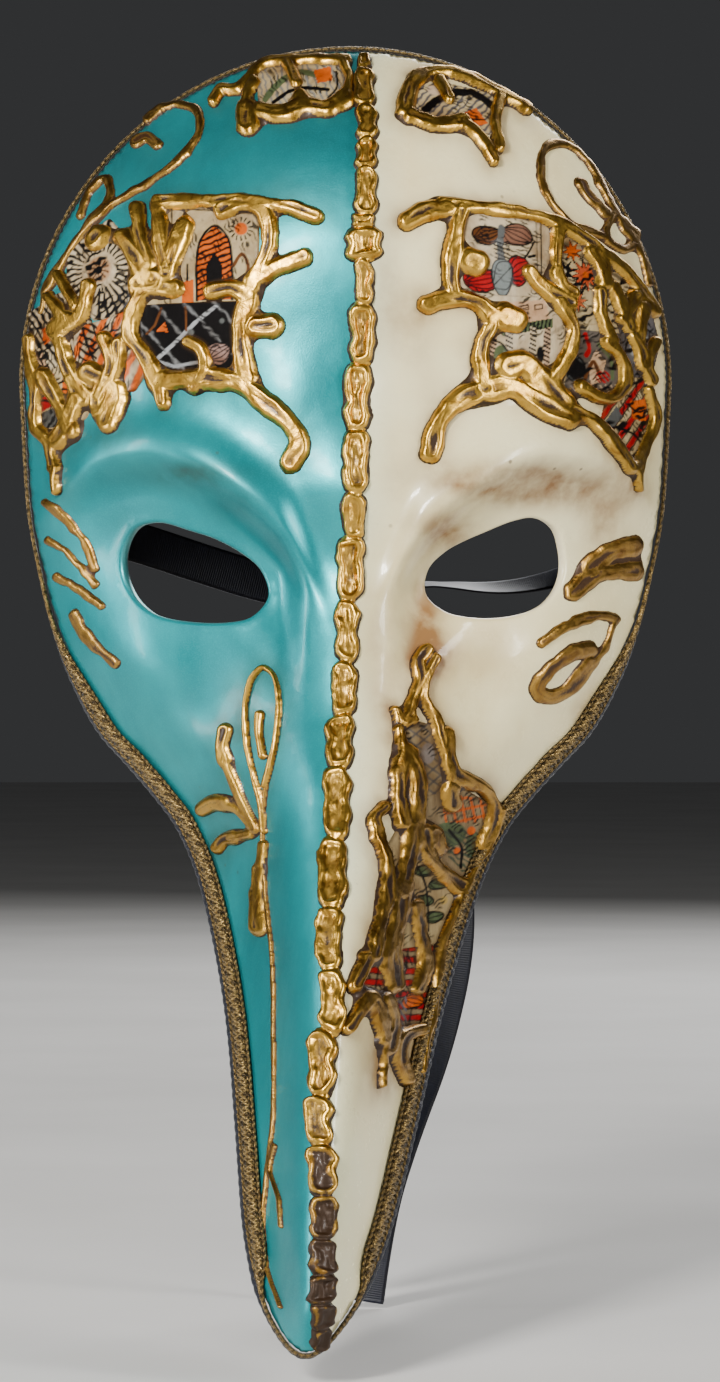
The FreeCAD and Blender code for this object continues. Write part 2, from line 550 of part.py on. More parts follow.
def link_outline(x, top, bottom, width):
    """A face with the outline of a piped link: a long loop with a slight waist."""
    tall = top - bottom
    w = width / 2
    half = [(0, top), (0.72 * w, top - 0.05 * tall), (w, top - 0.22 * tall),
            (0.88 * w, bottom + 0.5 * tall), (0.96 * w, bottom + 0.22 * tall),
            (0.68 * w, bottom + 0.05 * tall), (0, bottom)]
    return closed_curve([(x + dx, z) for dx, z in half]
                        + [(x - dx, z) for dx, z in half[-2:0:-1]])


def joined(solids):
    """Overlapping solids as one."""
    if len(solids) == 1:
        return solids[0]
    return solids[0].multiFuse(solids[1:])


# ---------------------------------------------------------------- writing
def save(name, shape):
    solids = [s for s in shape.Solids if s.Volume > 0.05]
    shape = solids[0] if len(solids) == 1 else Part.makeCompound(solids)
    print(name, len(solids), "solids", round(shape.Volume, 1), "mm3", shape.isValid())
    shape.exportStep(f"parts/{name}.step")


def relief(name, faces, height, under=()):
    """Stucco of an even height on the shell, cut where it lies on paper."""
    shape = joined([prism(face) for face in faces]).common(layer(0.0, height))
    for card in under:
        shape = shape.cut(card)
    save(name, shape)


# ---------------------------------------------------------------- sub-parts
def mask_shell():
    blank = prism(edge_outline(0.0)).common(layer(-SHELL_THICK, 0.0))
    for hole in (LEFT_EYE, RIGHT_EYE):
        blank = blank.cut(prism(closed_curve(hole)))
    return blank


def rim_trim():
    save("gold_braid", rim_band(braid_corner))
    save("edge_binding", rim_band(binding_corner))


def cards():
    made = {}
    sheet = layer(0.0, CARD_THICK)
    for name, points in CARDS.items():
        made[name] = prism(polygon(points)).common(sheet)
        save(name, made[name])
    return made


def chain():
    groups = (("forehead_chain", CHAIN[:FOREHEAD_LINKS]),
              ("nose_chain", CHAIN[FOREHEAD_LINKS:FOREHEAD_LINKS + NOSE_LINKS]),
              ("beak_chain", CHAIN[FOREHEAD_LINKS + NOSE_LINKS:]))
    skin = layer(0.0, LINK_HIGH)
    for name, links in groups:
        solids = [prism(link_outline(*link)).common(skin) for link in links]
        save(name, Part.makeCompound(solids))


def tube(route, diameter):
    """A round tube along straight runs joined by tangent arcs."""
    points = [Vector(*p) for p in route]
    edges = []
    start = points[0]
    radii = []
    for before, corner, after in zip(points, points[1:], points[2:]):
        back = before - corner
        ahead = after - corner
        turn = math.pi - back.getAngle(ahead)
        shorter = min(back.Length, ahead.Length)
        trim = 0.45 * shorter
        radii.append(trim / math.tan(turn / 2))
        first = corner + back.normalize() * trim
        last = corner + ahead.normalize() * trim
        bisector = (back + ahead).normalize()
        radius = radii[-1]
        middle = corner + bisector * (radius / math.cos(turn / 2) - radius)
        edges.append(Part.LineSegment(start, first).toShape())
        edges.append(Part.Arc(first, middle, last).toShape())
        start = last
    edges.append(Part.LineSegment(start, points[-1]).toShape())
    path = Part.Wire(edges)
    disc = Part.Wire([Part.Circle(points[0], points[1] - points[0], diameter / 2).toShape()])
    solid = path.makePipeShell([disc], True, False)
    section = math.pi * diameter**2 / 4
    print("  length", round(path.Length, 1), "radii", [round(r) for r in radii],
          "volume share", round(solid.Volume / (section * path.Length), 3))
    return solid


def ribbons(shell):
    patches = []
    sheet = layer(-SHELL_THICK - PATCH_THICK, -SHELL_THICK)
    for name, side in (("left_tie_patch", -1), ("right_tie_patch", 1)):
        patch = prism(polygon([(side * x, z) for x, z in TEMPLE_PATCH])).common(sheet)
        save(name, patch)
        patches.append(patch)
    knot = Part.makeSphere(1.0)
    stretch = FreeCAD.Matrix()
    stretch.scale(KNOT_HALF)
    knot = knot.transformGeometry(stretch)
    knot.translate(KNOT_CENTRE)
    save("ribbon_knot", knot)
    for name, route, patch in (("left_ribbon", LEFT_RIBBON, patches[0]),
                               ("right_ribbon", RIGHT_RIBBON, patches[1])):
        print(name)
        save(name, tube(route, RIBBON_WIDTH).cut(knot).cut(patch).cut(shell))


def main():
    os.makedirs("parts", exist_ok=True)
    shell = mask_shell()
    save("mask_shell", shell)
    rim_trim()
    paper = cards()
    chain()

    def under(start):
        return [shape for name, shape in paper.items() if name.startswith(start)]

    def strokes(lines, swell=1.0):
        return [stroke(width * swell, points) for width, points in lines]

    relief("left_brow_frame", strokes(LEFT_BROW_FRAME, LEFT_SWELL), GOLD_HIGH, under("left_brow"))
    relief("right_brow_frame", strokes(RIGHT_BROW_FRAME, RIGHT_SWELL), GOLD_HIGH, under("right_brow"))
    relief("left_crown_frame", strokes(LEFT_CROWN_FRAME), GOLD_HIGH, under("left_crown"))
    relief("right_crown_frame", strokes(RIGHT_CROWN_FRAME), GOLD_HIGH, under("right_crown"))
    relief("left_temple_scroll", strokes(LEFT_TEMPLE_SCROLL), STROKE_HIGH)
    relief("right_temple_scroll", strokes(RIGHT_TEMPLE_SCROLL), STROKE_HIGH)
    relief("left_cheek_strokes", strokes(LEFT_CHEEK_STROKES), STROKE_HIGH)
    relief("right_cheek_strokes", strokes(RIGHT_CHEEK_STROKES), STROKE_HIGH)
    relief("left_nose_flourish", strokes(LEFT_NOSE_FLOURISH), STROKE_HIGH)
    relief("left_beak_stem", strokes(LEFT_BEAK_STEM), STROKE_HIGH)
    relief("right_beak_frame", strokes(RIGHT_BEAK_FRAME), GOLD_HIGH, under("beak"))
    ribbons(shell)


main()
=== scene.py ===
import math

import bpy
import numpy as np
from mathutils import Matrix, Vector, noise
from mathutils.geometry import delaunay_2d_cdt


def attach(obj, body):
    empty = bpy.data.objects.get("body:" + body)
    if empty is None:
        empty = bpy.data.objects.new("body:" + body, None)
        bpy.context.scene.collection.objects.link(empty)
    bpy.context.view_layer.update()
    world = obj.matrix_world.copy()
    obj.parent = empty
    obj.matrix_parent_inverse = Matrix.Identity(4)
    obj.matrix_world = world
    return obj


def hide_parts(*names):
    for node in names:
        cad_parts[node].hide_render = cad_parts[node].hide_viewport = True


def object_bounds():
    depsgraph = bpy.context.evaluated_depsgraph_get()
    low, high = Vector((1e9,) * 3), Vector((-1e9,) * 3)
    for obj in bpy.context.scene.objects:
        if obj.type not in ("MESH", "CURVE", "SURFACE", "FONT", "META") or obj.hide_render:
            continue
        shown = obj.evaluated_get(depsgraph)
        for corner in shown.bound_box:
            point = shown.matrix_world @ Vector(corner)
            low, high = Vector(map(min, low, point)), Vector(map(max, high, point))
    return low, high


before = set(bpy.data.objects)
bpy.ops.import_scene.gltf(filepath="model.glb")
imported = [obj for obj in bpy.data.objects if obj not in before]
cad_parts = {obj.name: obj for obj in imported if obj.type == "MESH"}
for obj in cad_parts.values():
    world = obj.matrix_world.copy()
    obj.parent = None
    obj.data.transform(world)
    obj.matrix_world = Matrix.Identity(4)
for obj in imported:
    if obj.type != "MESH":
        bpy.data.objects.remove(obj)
cad_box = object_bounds()

# Everything below is in millimetres, in the frame of the model, unless it says metres.
MM = 0.001
BODY = "root"

# ---------------------------------------------------------------- driving dimensions, millimetres
CROWN_BASE = 45.0        # z where the sides turn into the round crown
CROWN_HALF = 78.6        # half width of the edge there
CROWN_RISE = 79.8        # height of the edge's crown over it
TIP_START = -160.0       # z where the sides turn into the round tip
TIP_LENGTH = 14.5
BEAK_LEAN = 8.0          # how far the tip leans to the teal side
SHELL_THICK = 2.6
LIP = 1.0                # radius of the shell's rounded edges
EDGE_INSET = 1.6         # from the drawn outline in to the shell's edge, below
CROWN_INSET = 0.9        # and above the eyes
DOME_POWER = 2.8
GOLD_HIGH = 1.7
STROKE_HIGH = 1.0
STROKE_STEP = 0.3
SHORE = 0.47             # field strength where stucco starts
WEB = 0.62               # height of the stucco between strokes, as a share of theirs
LINK_HIGH = 2.1
BRAID_HIGH = 1.5
BRAID_IN = 3.4           # how far the braid reaches inward from the shell's edge
BRAID_OUT = 0.8          # and outward
BINDING_OUT = 1.7
CROWN_TRIM = 0.9         # how far braid and binding reach outward above the eyes
CROWN_SEAM = -1.5        # height of the seam between them there
TRIM_STEP = 0.5
PLAIT = 5.2              # length of one repeat of the plait
CORD_TURN = 2.9          # length of one turn of the binding's cord
GLUE = 0.05              # gap between glued parts
CARD_THICK = 0.35
LAP = 0.5                # how far one printed scrap laps over the next
RIBBON_WIDTH = 10.0
SATIN_RIB = 0.55         # from one rib of the satin to the next
SPAN_STEPS = 16          # points that a drawn curve gets between two of its own

# tables over z, apart from BROW_CREST, which gives the crest's z over its distance from the middle
HALF_WIDTH = [(45, 79.5), (18, 78), (-6, 73.8), (-20, 69.8), (-32, 64.5), (-40, 59.6), (-47, 53),
              (-54, 46.5), (-62, 40), (-73, 34.4), (-88, 29.5), (-106, 25), (-130, 20.7),
              (-150, 17), (-165, 12.5), (-176, 9.5)]
RIM_DEPTH = [(126, -14), (80, -4), (45, 0), (0, -1), (-30, -6), (-55, -20), (-80, -40),
             (-105, -60), (-130, -79), (-150, -94), (-172, -113), (-180, -120)]
RIDGE_HEIGHT = [(126, 54), (45, 54), (20, 56), (0, 53), (-20, 56), (-50, 61), (-80, 58),
                (-105, 51), (-130, 42), (-150, 34), (-164, 25), (-172, 14), (-178, 4), (-186, -6)]
RIDGE_SOFTNESS = [(130, 0.30), (-30, 0.34), (-80, 0.42), (-130, 0.5), (-180, 0.7)]
RIDGE_OFFSET = [(130, 5.0), (90, 4.6), (50, 3.4), (15, 2.4), (-15, 1.0), (-40, 0.3),
                (-100, 0.5), (-176, 1.0)]
STEM_HOLLOW = [(-50, -19), (-78, -18.5), (-92, -16.8), (-126, -16.4), (-147, -17.2), (-165, -13)]
BROW_CREST = [(0, -16), (8, -4), (16, 8), (29, 19.5), (40, 25.5), (48, 27.5), (58, 26.5),
              (66, 22.5), (76, 14), (90, 0)]
# outlines of the eye holes
LEFT_EYE = [(-18.2, -7), (-20.1, -1.1), (-24.5, 2.7), (-31, 6.2), (-36.4, 8), (-44.6, 10.2),
            (-50.1, 8.8), (-52.7, 4.2), (-52.9, -1.1), (-51, -5.9), (-47.8, -9.4), (-44, -11.6),
            (-36.4, -13.1), (-27.6, -13.2), (-21.9, -11.7)]
RIGHT_EYE = [(51.9, -1.1), (51.7, 3.9), (49.8, 8.8), (45.1, 11.1), (39.8, 10.2), (33.3, 7.6),
             (27.6, 5.1), (23.8, 2.9), (19.9, -1.1), (19.3, -6.6), (23.4, -10.4), (28.4, -11.8),
             (36.1, -12.1), (43.1, -10.7), (47.6, -8.4), (50.4, -5.2)]


# ---------------------------------------------------------------- drawn outlines
def rows_of(text):
    """(head, points) of each row "head: x z, x z". A row that ends in a comma goes on below."""
    rows = [row.split(":") for row in text.strip().replace(",\n", ",").splitlines()]
    return [(head.strip(), [tuple(map(float, at.split())) for at in points.split(",")])
            for head, points in rows]


def strokes(text):
    """Piped strokes, as (width, points)."""
    return [(float(width), points) for width, points in rows_of(text)]


LEFT_BROW_FRAME = strokes("""
    2.6: -6.5 81, -13 83.5, -23.5 85, -44 86.5
    2.8: -28.5 83, -24 84.5, -19 82.5, -17.5 76, -19.5 69.5, -21.5 65
    3: -21.5 66, -15 69.5, -9.5 71.5
    2.6: -44 86, -43 75.5, -41.5 70
    3.3: -37.5 80, -39.5 74, -41.5 68.5
    2.4: -49.5 85.5, -48 77.5, -45.5 71
    3.6: -52.5 78.5, -49 73, -46.5 68
    4.7: -48 66.5, -44.5 67
    3.8: -59.5 78.5, -58.5 79.5
    2.6: -61 67.5, -62.5 60.5, -65.5 58.5
    2.2: -71.5 66, -67 60
    1.7: -69 71, -64 62.5
    2.8: -39.5 65, -46.5 65, -50.5 55.5, -46.5 49, -43.5 42.5, -42.5 38
    3.3: -31 64, -26 64.5, -22.5 62, -24 57.5, -24 51, -22.5 43.5
    4.2: -20.5 55.5, -17 55.5
    2.1: -36.5 52.5, -33.5 50.5, -32.5 46, -35 41.5
    3.5: -43.5 43.5, -31.5 43.5, -24 42, -19 38, -13 33, -10.5 28, -12.5 23.5
    2.6: -57 54.5, -54.5 48, -57.5 40.5
    2.6: -68 54.5, -65.5 47, -60.5 41
    2.9: -72.5 46.5, -68 39, -65 33
    3.8: -60.5 46.5, -54 41.5, -56 34
    2.2: -76.5 56, -76 51, -74.5 44, -74.5 34.5, -71 30.5, -69.5 24
    1.2: -69.5 24, -69 18.5
    3.9: -69 57.5, -66 59
    3.4: -63.5 40, -66 34.5, -68.5 31""")
RIGHT_BROW_FRAME = strokes("""
    3.3: 14.5 80, 19 82.5, 24 83
    2.4: 22.5 84, 41.5 83, 50.5 81, 58.5 76.5, 67 71, 74.5 62.5
    3: 27 83, 25.5 75.5, 24.5 69, 25 63.5
    5.1: 29 71, 30.5 70.5
    3: 19 60.5, 25 62, 31 61, 34 58
    4.7: 37.5 58, 39.5 57.5
    2.6: 34 56, 31.5 50.5, 32 42.5
    3.5: 32.5 41, 26 38, 21.5 32.5, 20 26
    4: 32.5 41, 39 41.5, 45 38, 52.5 34.5
    4.7: 38 46.5, 41.5 47.5, 46 43, 51 38
    2.8: 43 69, 46 65.5, 52.5 62
    2.1: 50 81, 49.5 74, 49 68
    2.4: 50 62, 53.5 56.5, 52.5 50.5, 48.5 44
    2.1: 57.5 75, 60.5 70.5
    2.1: 60 65.5, 60.5 60, 63 54
    2.2: 69 65.5, 65.5 59.5
    2.4: 55.5 42.5, 62 40, 66.5 44, 65.5 50, 62 53.5
    2.2: 74.5 55, 72 49, 73.5 45.5
    1.9: 72.5 43, 74.5 36.5, 71.5 29, 69.5 23.5
    1: 69.5 23.5, 70 19
    2.6: 52.5 36.5, 58 34.5, 62 31, 67.5 24""")
LEFT_BROW_DRIPS = strokes("""
    2.4: -65 45, -63.5 42, -61.3 40
    2.4: -57 43, -58.2 40, -58 36.6
    2: -53 53, -52.8 48, -54.2 44.4""")
RIGHT_BROW_DRIPS = strokes("""
    2.6: 59 75, 60.8 71.5, 61.2 68
    2.4: 63.5 67, 65.8 62, 67.3 57.5
    2.2: 71.2 63, 70.6 59, 70.2 55
    2.8: 49.5 69.2, 51 66.2, 53.3 64.6
    2.2: 68.3 55.5, 70.4 52, 71 49""")
LEFT_CROWN_FRAME = strokes("""
    1.7: -31.5 111.5, -29.5 114.5, -25.5 114.5, -19.5 121, -11 121.5, 0.5 121
    3.6: -23 104.5, -23.5 108.5
    1.9: -23.5 108.5, -23 113, -21.5 116
    3.1: -20 108, -14.5 107, -9.5 108.5, -4 108, 0 110.5
    2.8: -10.5 111, -9.5 109
    1.7: 0 110.5, 1 116, -0.5 120.5
    2.2: -13.5 120.5, -11.5 115.5""")
RIGHT_CROWN_FRAME = strokes("""
    2.9: 14 107.5, 15.5 113.5, 18 117
    1.9: 16.5 116.5, 22.5 118.5, 30 117, 37 113.5, 43.5 110
    2.8: 15.5 106, 21.5 104, 27.5 105
    2.1: 27.5 104.5, 31.5 101.5, 35 95.5
    1.9: 37 112.5, 35.5 106, 36.5 99
    2.1: 22.5 115.5, 24.5 111""")
LEFT_TEMPLE_SCROLL = strokes("""
    1.7: -72.5 67.5, -67.5 75, -61 83.5, -53.5 88.5, -46.5 92, -39.5 97, -35 103.5, -35.5 109.5,
        -40 112, -45 111.5, -48 109
    2.4: -50.5 103, -48 104, -45 101.5
    1.7: -64 85.5, -61.5 92, -58 94.5, -56.5 89.5, -61 83.5
    1.5: -73.5 62.5, -71.5 70, -67.5 75""")
RIGHT_TEMPLE_SCROLL = strokes("""
    1.7: 61 79.5, 54 81.5, 48.5 87, 46.5 94, 48 100.5, 52.5 102, 58.5 98, 63 90, 67 83, 71.5 76.5,
        73.5 69.5
    2.4: 56.5 92, 58.5 89, 62.5 85.5
    1.7: 64.5 85.5, 62.5 79, 67.5 77, 70.5 81, 67 84""")
LEFT_CHEEK_STROKES = strokes("""
    1.7: -72.5 16, -67 11.5, -62.5 6, -60 0
    1.4: -72 7, -68 4.5, -62.5 -1, -60 -4
    1.7: -70 -2, -66 -4, -58.5 -9
    2.2: -65.5 -11, -63 -15.5, -55 -23""")
RIGHT_CHEEK_STROKES = strokes("""
    2.9: 54 -6, 60 -1.5, 70 -0.5
    3.1: 58.5 0, 63.5 4, 69.5 5.5
    1.7: 46.5 -18, 54 -13.5, 60.5 -11.5, 65 -12
    1: 65 -12, 62.5 -19, 57 -25
    2.4: 58.5 -19.5, 54 -20.5, 48 -25, 45.5 -29, 48.5 -31, 54 -28.5, 58.5 -23""")
LEFT_NOSE_FLOURISH = strokes("""
    1.1: -18.4 -51.5, -15.9 -41, -15.3 -31.5, -16.6 -25.8, -19 -24, -21.5 -26.4, -23 -32,
        -22.8 -41, -21 -49, -19.3 -55.5, -18.5 -62
    1.6: -19.7 -35, -19.9 -38.5, -18.9 -44.5
    3.2: -28 -38.8, -28.6 -42.5, -28 -45.5
    1.9: -28 -45, -25.5 -51.5, -22.6 -57.5, -20.6 -61.5
    3: -33.6 -57.4, -30.6 -55.8, -28 -56
    1.9: -28.5 -55.8, -25 -57.2, -21.6 -60.5
    2.9: -30 -66.5, -28.2 -64.4, -25.8 -63.8
    1.8: -26.5 -63.8, -22 -62.8
    1.7: -18.8 -65, -19.6 -73
    2.6: -19.8 -71, -20.1 -77
    3.4: -20.3 -77, -20 -84""")
LEFT_BEAK_STEM = strokes("""
    0.9: -18 -50, -19 -61.5, -18 -77.5, -16.5 -91, -16 -108.5, -16 -126, -17 -135, -18 -147.5,
        -17 -158, -14 -165
    0.9: -15.5 -131.5, -16.5 -137, -14.5 -142.5, -14 -148""")
RIGHT_BEAK_FRAME = strokes("""
    2.6: 19 -20, 17 -22.5, 17 -27, 15.5 -31.5, 14 -36.5
    2.1: 21 -22, 19 -26, 18 -31, 20.5 -36, 22 -42.5, 24 -49.5
    2.1: 11.5 -34, 12.5 -36.5, 15.5 -36.5
    2.1: 12 -38.5, 13 -43.5
    3.2: 13.5 -43.5, 12 -48.5, 12 -55, 13 -59.5
    3.1: 23.5 -39.5, 25 -48.5, 28.5 -50.5, 33 -53, 35 -57.5, 34 -61.5, 32 -66
    4.7: 24 -52.5, 24.5 -55.5
    2.5: 8.5 -56, 6.5 -59, 7.5 -63.5, 9 -68, 9 -76, 7 -83.5, 6 -89
    3.3: 17.5 -62, 18.5 -67, 22 -71.5, 26.5 -75.5
    3.7: 20 -62.5, 21.5 -66
    1.9: 36.5 -57.5, 34 -65, 30 -71.5, 26 -79.5, 22 -89, 20 -101.5, 18.5 -108.5, 17 -116.5
    3.7: 14.5 -44.5, 16.5 -51, 16 -57.5, 15 -62.5, 14 -68.5, 12.5 -75
    3: 16 -79, 17 -86, 18 -92.5, 16.5 -98
    3.1: 4.5 -89.5, 2 -95
    2.7: 0.5 -104.5, 2.5 -101.5, 5 -98
    2.7: 5 -98, 7 -101.5, 8.5 -108
    1.1: 8.5 -108, 8 -118
    2.7: 9 -98.5, 10.5 -104.5, 9.5 -110
    3: 18 -107.5, 13.5 -108, 12 -112.5, 14 -118
    4.1: 12 -74.5, 11.5 -81.5, 10 -88, 11 -96""")

# centre chain, as (x, top z, bottom z, width) of each link from the crown down to the tip
CHAIN = [
    (4.5, 122.0, 118.8, 3.2), (4.5, 118.2, 108.5, 5), (5.2, 108, 100, 5), (5, 99.6, 93, 5),
    (5, 92.6, 81.5, 5.4), (4.4, 81.2, 78.6, 5.4), (4.5, 78.2, 71, 9), (4.5, 70.6, 61, 4.6),
    (4, 60.6, 46.8, 6.4), (3, 46.4, 31, 6.8), (2.5, 30.6, 16.6, 6.4), (2.2, 16.2, 6.4, 5.4),
    (1.2, 6, -8.6, 6.4), (0.5, -9, -22.8, 5.6), (0, -23.2, -35, 6), (-1, -35.4, -47, 6.4),
    (-1.8, -47.4, -62.8, 6.4), (-2.5, -63.2, -78.4, 6.4), (-3.2, -78.8, -91.8, 5.6),
    (-2.6, -92.2, -105, 5.6), (-4.6, -105.4, -118.8, 5.6), (-5.3, -119.2, -129.2, 5.8),
    (-4.6, -129.6, -139.8, 6), (-4.6, -140.2, -148.8, 5), (-4.7, -149.2, -156.4, 5),
    (-4.9, -156.8, -162.4, 5), (-5, -162.8, -168, 4.4), (-5.2, -168.3, -172.6, 3.4),
]
FOREHEAD_LINKS = 9       # links above the brow
NOSE_LINKS = 8           # links between the brow and the beak

# corners of each printed scrap of paper
CARDS = dict(rows_of("""
    left_brow_arch_print: -42 86, -20.5 83, -20.8 61.8, -47 61.8, -47.5 65, -41 70
    left_brow_night_print: -49.5 61.3, -23.2 61.3, -23.4 43.6, -43.5 44.6, -50.5 54
    left_brow_sunburst_print: -66.5 76.5, -56.5 83, -48.5 73, -48.2 66, -51 61.8, -56 59.4,
        -59.8 59.4, -66.5 66.5
    left_brow_striped_print: -64.5 57, -57 58.4, -51 60.2, -51.5 53.8, -46.8 46.4, -50 41.8,
        -59.2 41.6, -64 47.5
    left_brow_hatched_print: -76.5 62, -69 66, -66.8 65.6, -61 58.6, -65.4 57.2, -65 48.8,
        -69 48.8, -73.5 46.2, -76 51
    left_brow_red_print: -74.3 45, -69 48.2, -64.8 47.5, -59.8 40.8, -62 36, -68 31.5, -73.5 34
    right_brow_arch_print: 27.2 82.8, 47.6 82.2, 48.4 66.8, 47.9 63.2, 27 63.2
    right_brow_table_print: 31.5 62.8, 48.1 62.8, 50.6 58, 51.6 54, 50 46, 48.8 43.2, 34.5 41.6,
        32.4 43, 32.2 52.5
    right_brow_star_print: 49 81, 58.5 76.6, 67.2 70.6, 68 64, 64.8 58.5, 55 57.3, 51.4 58.4,
        48.7 64
    right_brow_flask_print: 52.6 56.6, 64.3 57.9, 66.2 52, 66.8 45.4, 62 40.8, 51 41.2, 49.8 43.4,
        52.3 50
    right_brow_flower_print: 65.4 57.4, 68.8 64, 68.2 69, 73 64.5, 75.6 54.5, 73.4 46.2, 67.4 46.2
    right_brow_red_print: 62.8 40.2, 67.4 45.4, 73 45.6, 74 36, 70.5 25.5, 61 33.6
    left_crown_print: -21 120.5, -0.5 120.8, 0 110, -10.5 109, -20 109
    right_crown_print: 16.5 116.5, 37 112.5, 36 102.5, 29.5 104, 17 106
    beak_diamond_print: 15 -36.5, 20.5 -38, 23.6 -49.5, 22.5 -53, 13.8 -54, 13.5 -46
    beak_lattice_print: 16.4 -54.6, 26.5 -52.2, 34.5 -57, 32.8 -65, 27.3 -73.8, 21 -66, 16.5 -61
    beak_foliage_print: 12 -62, 15.6 -61.6, 20.4 -66.6, 26.6 -74.6, 23.4 -81.5, 20.6 -87.8,
        8.6 -88, 10.4 -76, 9.6 -66
    beak_brick_print: 6 -88.8, 20 -88.8, 19.6 -99, 18 -107, 12 -107.8, 8 -103, 4.5 -96"""))


# ---------------------------------------------------------------- the moulded surface
def smooth(t):
    """0 below 0, 1 above 1, and a smooth step between."""
    t = np.clip(t, 0.0, 1.0)
    return t * t * (3 - 2 * t)


def unit(vectors):
    return vectors / np.linalg.norm(vectors, axis=-1, keepdims=True)


def along(knots, z):
    """Values at heights z of a monotone cubic through (z, value) knots, straight past the ends."""
    table = np.array(sorted(knots), float)
    xs, ys = table[:, 0], table[:, 1]
    gaps = np.diff(xs)
    slopes = np.diff(ys) / gaps
    tangents = np.empty(len(xs))
    tangents[0], tangents[-1] = slopes[0], slopes[-1]
    before, after = slopes[:-1], slopes[1:]
    total = np.where(before + after == 0, 1.0, before + after)
    tangents[1:-1] = np.where(before * after <= 0, 0.0, 2 * before * after / total)
    z = np.asarray(z, float)
    i = np.clip(np.searchsorted(xs, z) - 1, 0, len(gaps) - 1)
    raw = (z - xs[i]) / gaps[i]
    t = np.clip(raw, 0, 1)
    value = ((2 * t**3 - 3 * t**2 + 1) * ys[i] + (t**3 - 2 * t**2 + t) * gaps[i] * tangents[i]
             + (3 * t**2 - 2 * t**3) * ys[i + 1] + (t**3 - t**2) * gaps[i] * tangents[i + 1])
    value += np.where(raw < 0, (z - xs[0]) * tangents[0], 0)
    return value + np.where(raw > 1, (z - xs[-1]) * tangents[-1], 0)


def centre_x(z):
    """The middle of the shell, which leans to -X down the beak."""
    t = np.clip((-20 - np.asarray(z, float)) / 150, 0.0, 1.2)
    return -BEAK_LEAN * t * t


def half_width(z):
    return along(HALF_WIDTH, np.minimum(z, CROWN_BASE))


def mound(across, z, at, size, turn=0.0):
    """A smooth bump of height 1 at a point, turned by an angle."""
    dx, dz = across - at[0], z - at[1]
    p = (dx * math.cos(turn) + dz * math.sin(turn)) / size[0]
    q = (dz * math.cos(turn) - dx * math.sin(turn)) / size[1]
    return np.exp(-p * p - q * q)


def face_depth(x, z):
    """The y of the outer surface at (x, z): the CAD's, with a hollow and a crest by the stem."""
    half, offset = half_width(z), along(RIDGE_OFFSET, z)
    u = (x - centre_x(z)) / half
    u = u - offset / half * np.clip(1 - u * u, 0, 1)
    top = np.maximum(z - CROWN_BASE, 0.0) / (CROWN_RISE + 1.9)
    radius = np.hypot(u, top)
    k = along(RIDGE_SOFTNESS, z)
    ridge = (np.hypot(u, k) - k) / (np.hypot(1, k) - k)
    flared = (1 - np.cos(np.pi * np.minimum(np.abs(u), 1.25))) / 2
    flare = 0.8 * smooth((-30 - z) / 50)
    beaked = smooth((18 - z) / 75)
    fall = (1 - beaked) * radius**DOME_POWER + beaked * ((1 - flare) * ridge + flare * flared)
    y = along(RIM_DEPTH, z) - along(RIDGE_HEIGHT, z) * (1 - fall)
    side = np.abs(x - 0.6 * offset)
    over = z - along(BROW_CREST, side)
    brow = np.exp(-(over / np.where(over > 0, 8.5, 6)) ** 2)
    brow = brow * smooth((side - 3) / 14) * smooth((80 - side) / 18)
    socket = smooth(-over / 11) * np.exp(-np.maximum(-over - 14, 0.0) ** 2 / 230)
    socket = socket * smooth((side - 9) / 8) * smooth((72 - side) / 20)
    bridge = np.exp(-(side / 12) ** 2) * smooth((z + 60) / 40) * smooth((40 - z) / 26)
    y = y - 5.2 * brow - 3.5 * bridge
    y = y + 5.5 * socket + 2.5 * mound(side, z, (34, 0), (22, 15), -0.12)
    y = y - 4.2 * mound(side, z, (49, -21), (18, 12), 0.35)
    y = y + 3.0 * mound(side, z, (31, -30), (10, 24), -0.55)
    y = y - 2.0 * mound(side, z, (12, 40), (12, 11))
    beside = (x - along(STEM_HOLLOW, z)) / 3.6
    down = smooth((-48 - z) / 26) * smooth((z + 168) / 22)
    return y + down * (1.5 * np.exp(-beside ** 2) - 1.0 * np.exp(-(beside - 2.1) ** 2 / 1.2))


def on_face(x, z, height=0.0):
    """Points at a height over the outer surface, measured along its normals."""
    x, z = np.asarray(x, float), np.asarray(z, float)
    step = 0.25
    slope_x = (face_depth(x + step, z) - face_depth(x - step, z)) / (2 * step)
    slope_z = (face_depth(x, z + step) - face_depth(x, z - step)) / (2 * step)
    normals = unit(np.stack([slope_x, -np.ones_like(slope_x), slope_z], -1))
    points = np.stack([x, face_depth(x, z), z], -1)
    return points + normals * np.asarray(height, float)[..., None]


def above_eyes(z):
    """0 where braid and binding lie on the face, 1 where they lie on the side of the edge."""
    return smooth((z + 35) / 50)


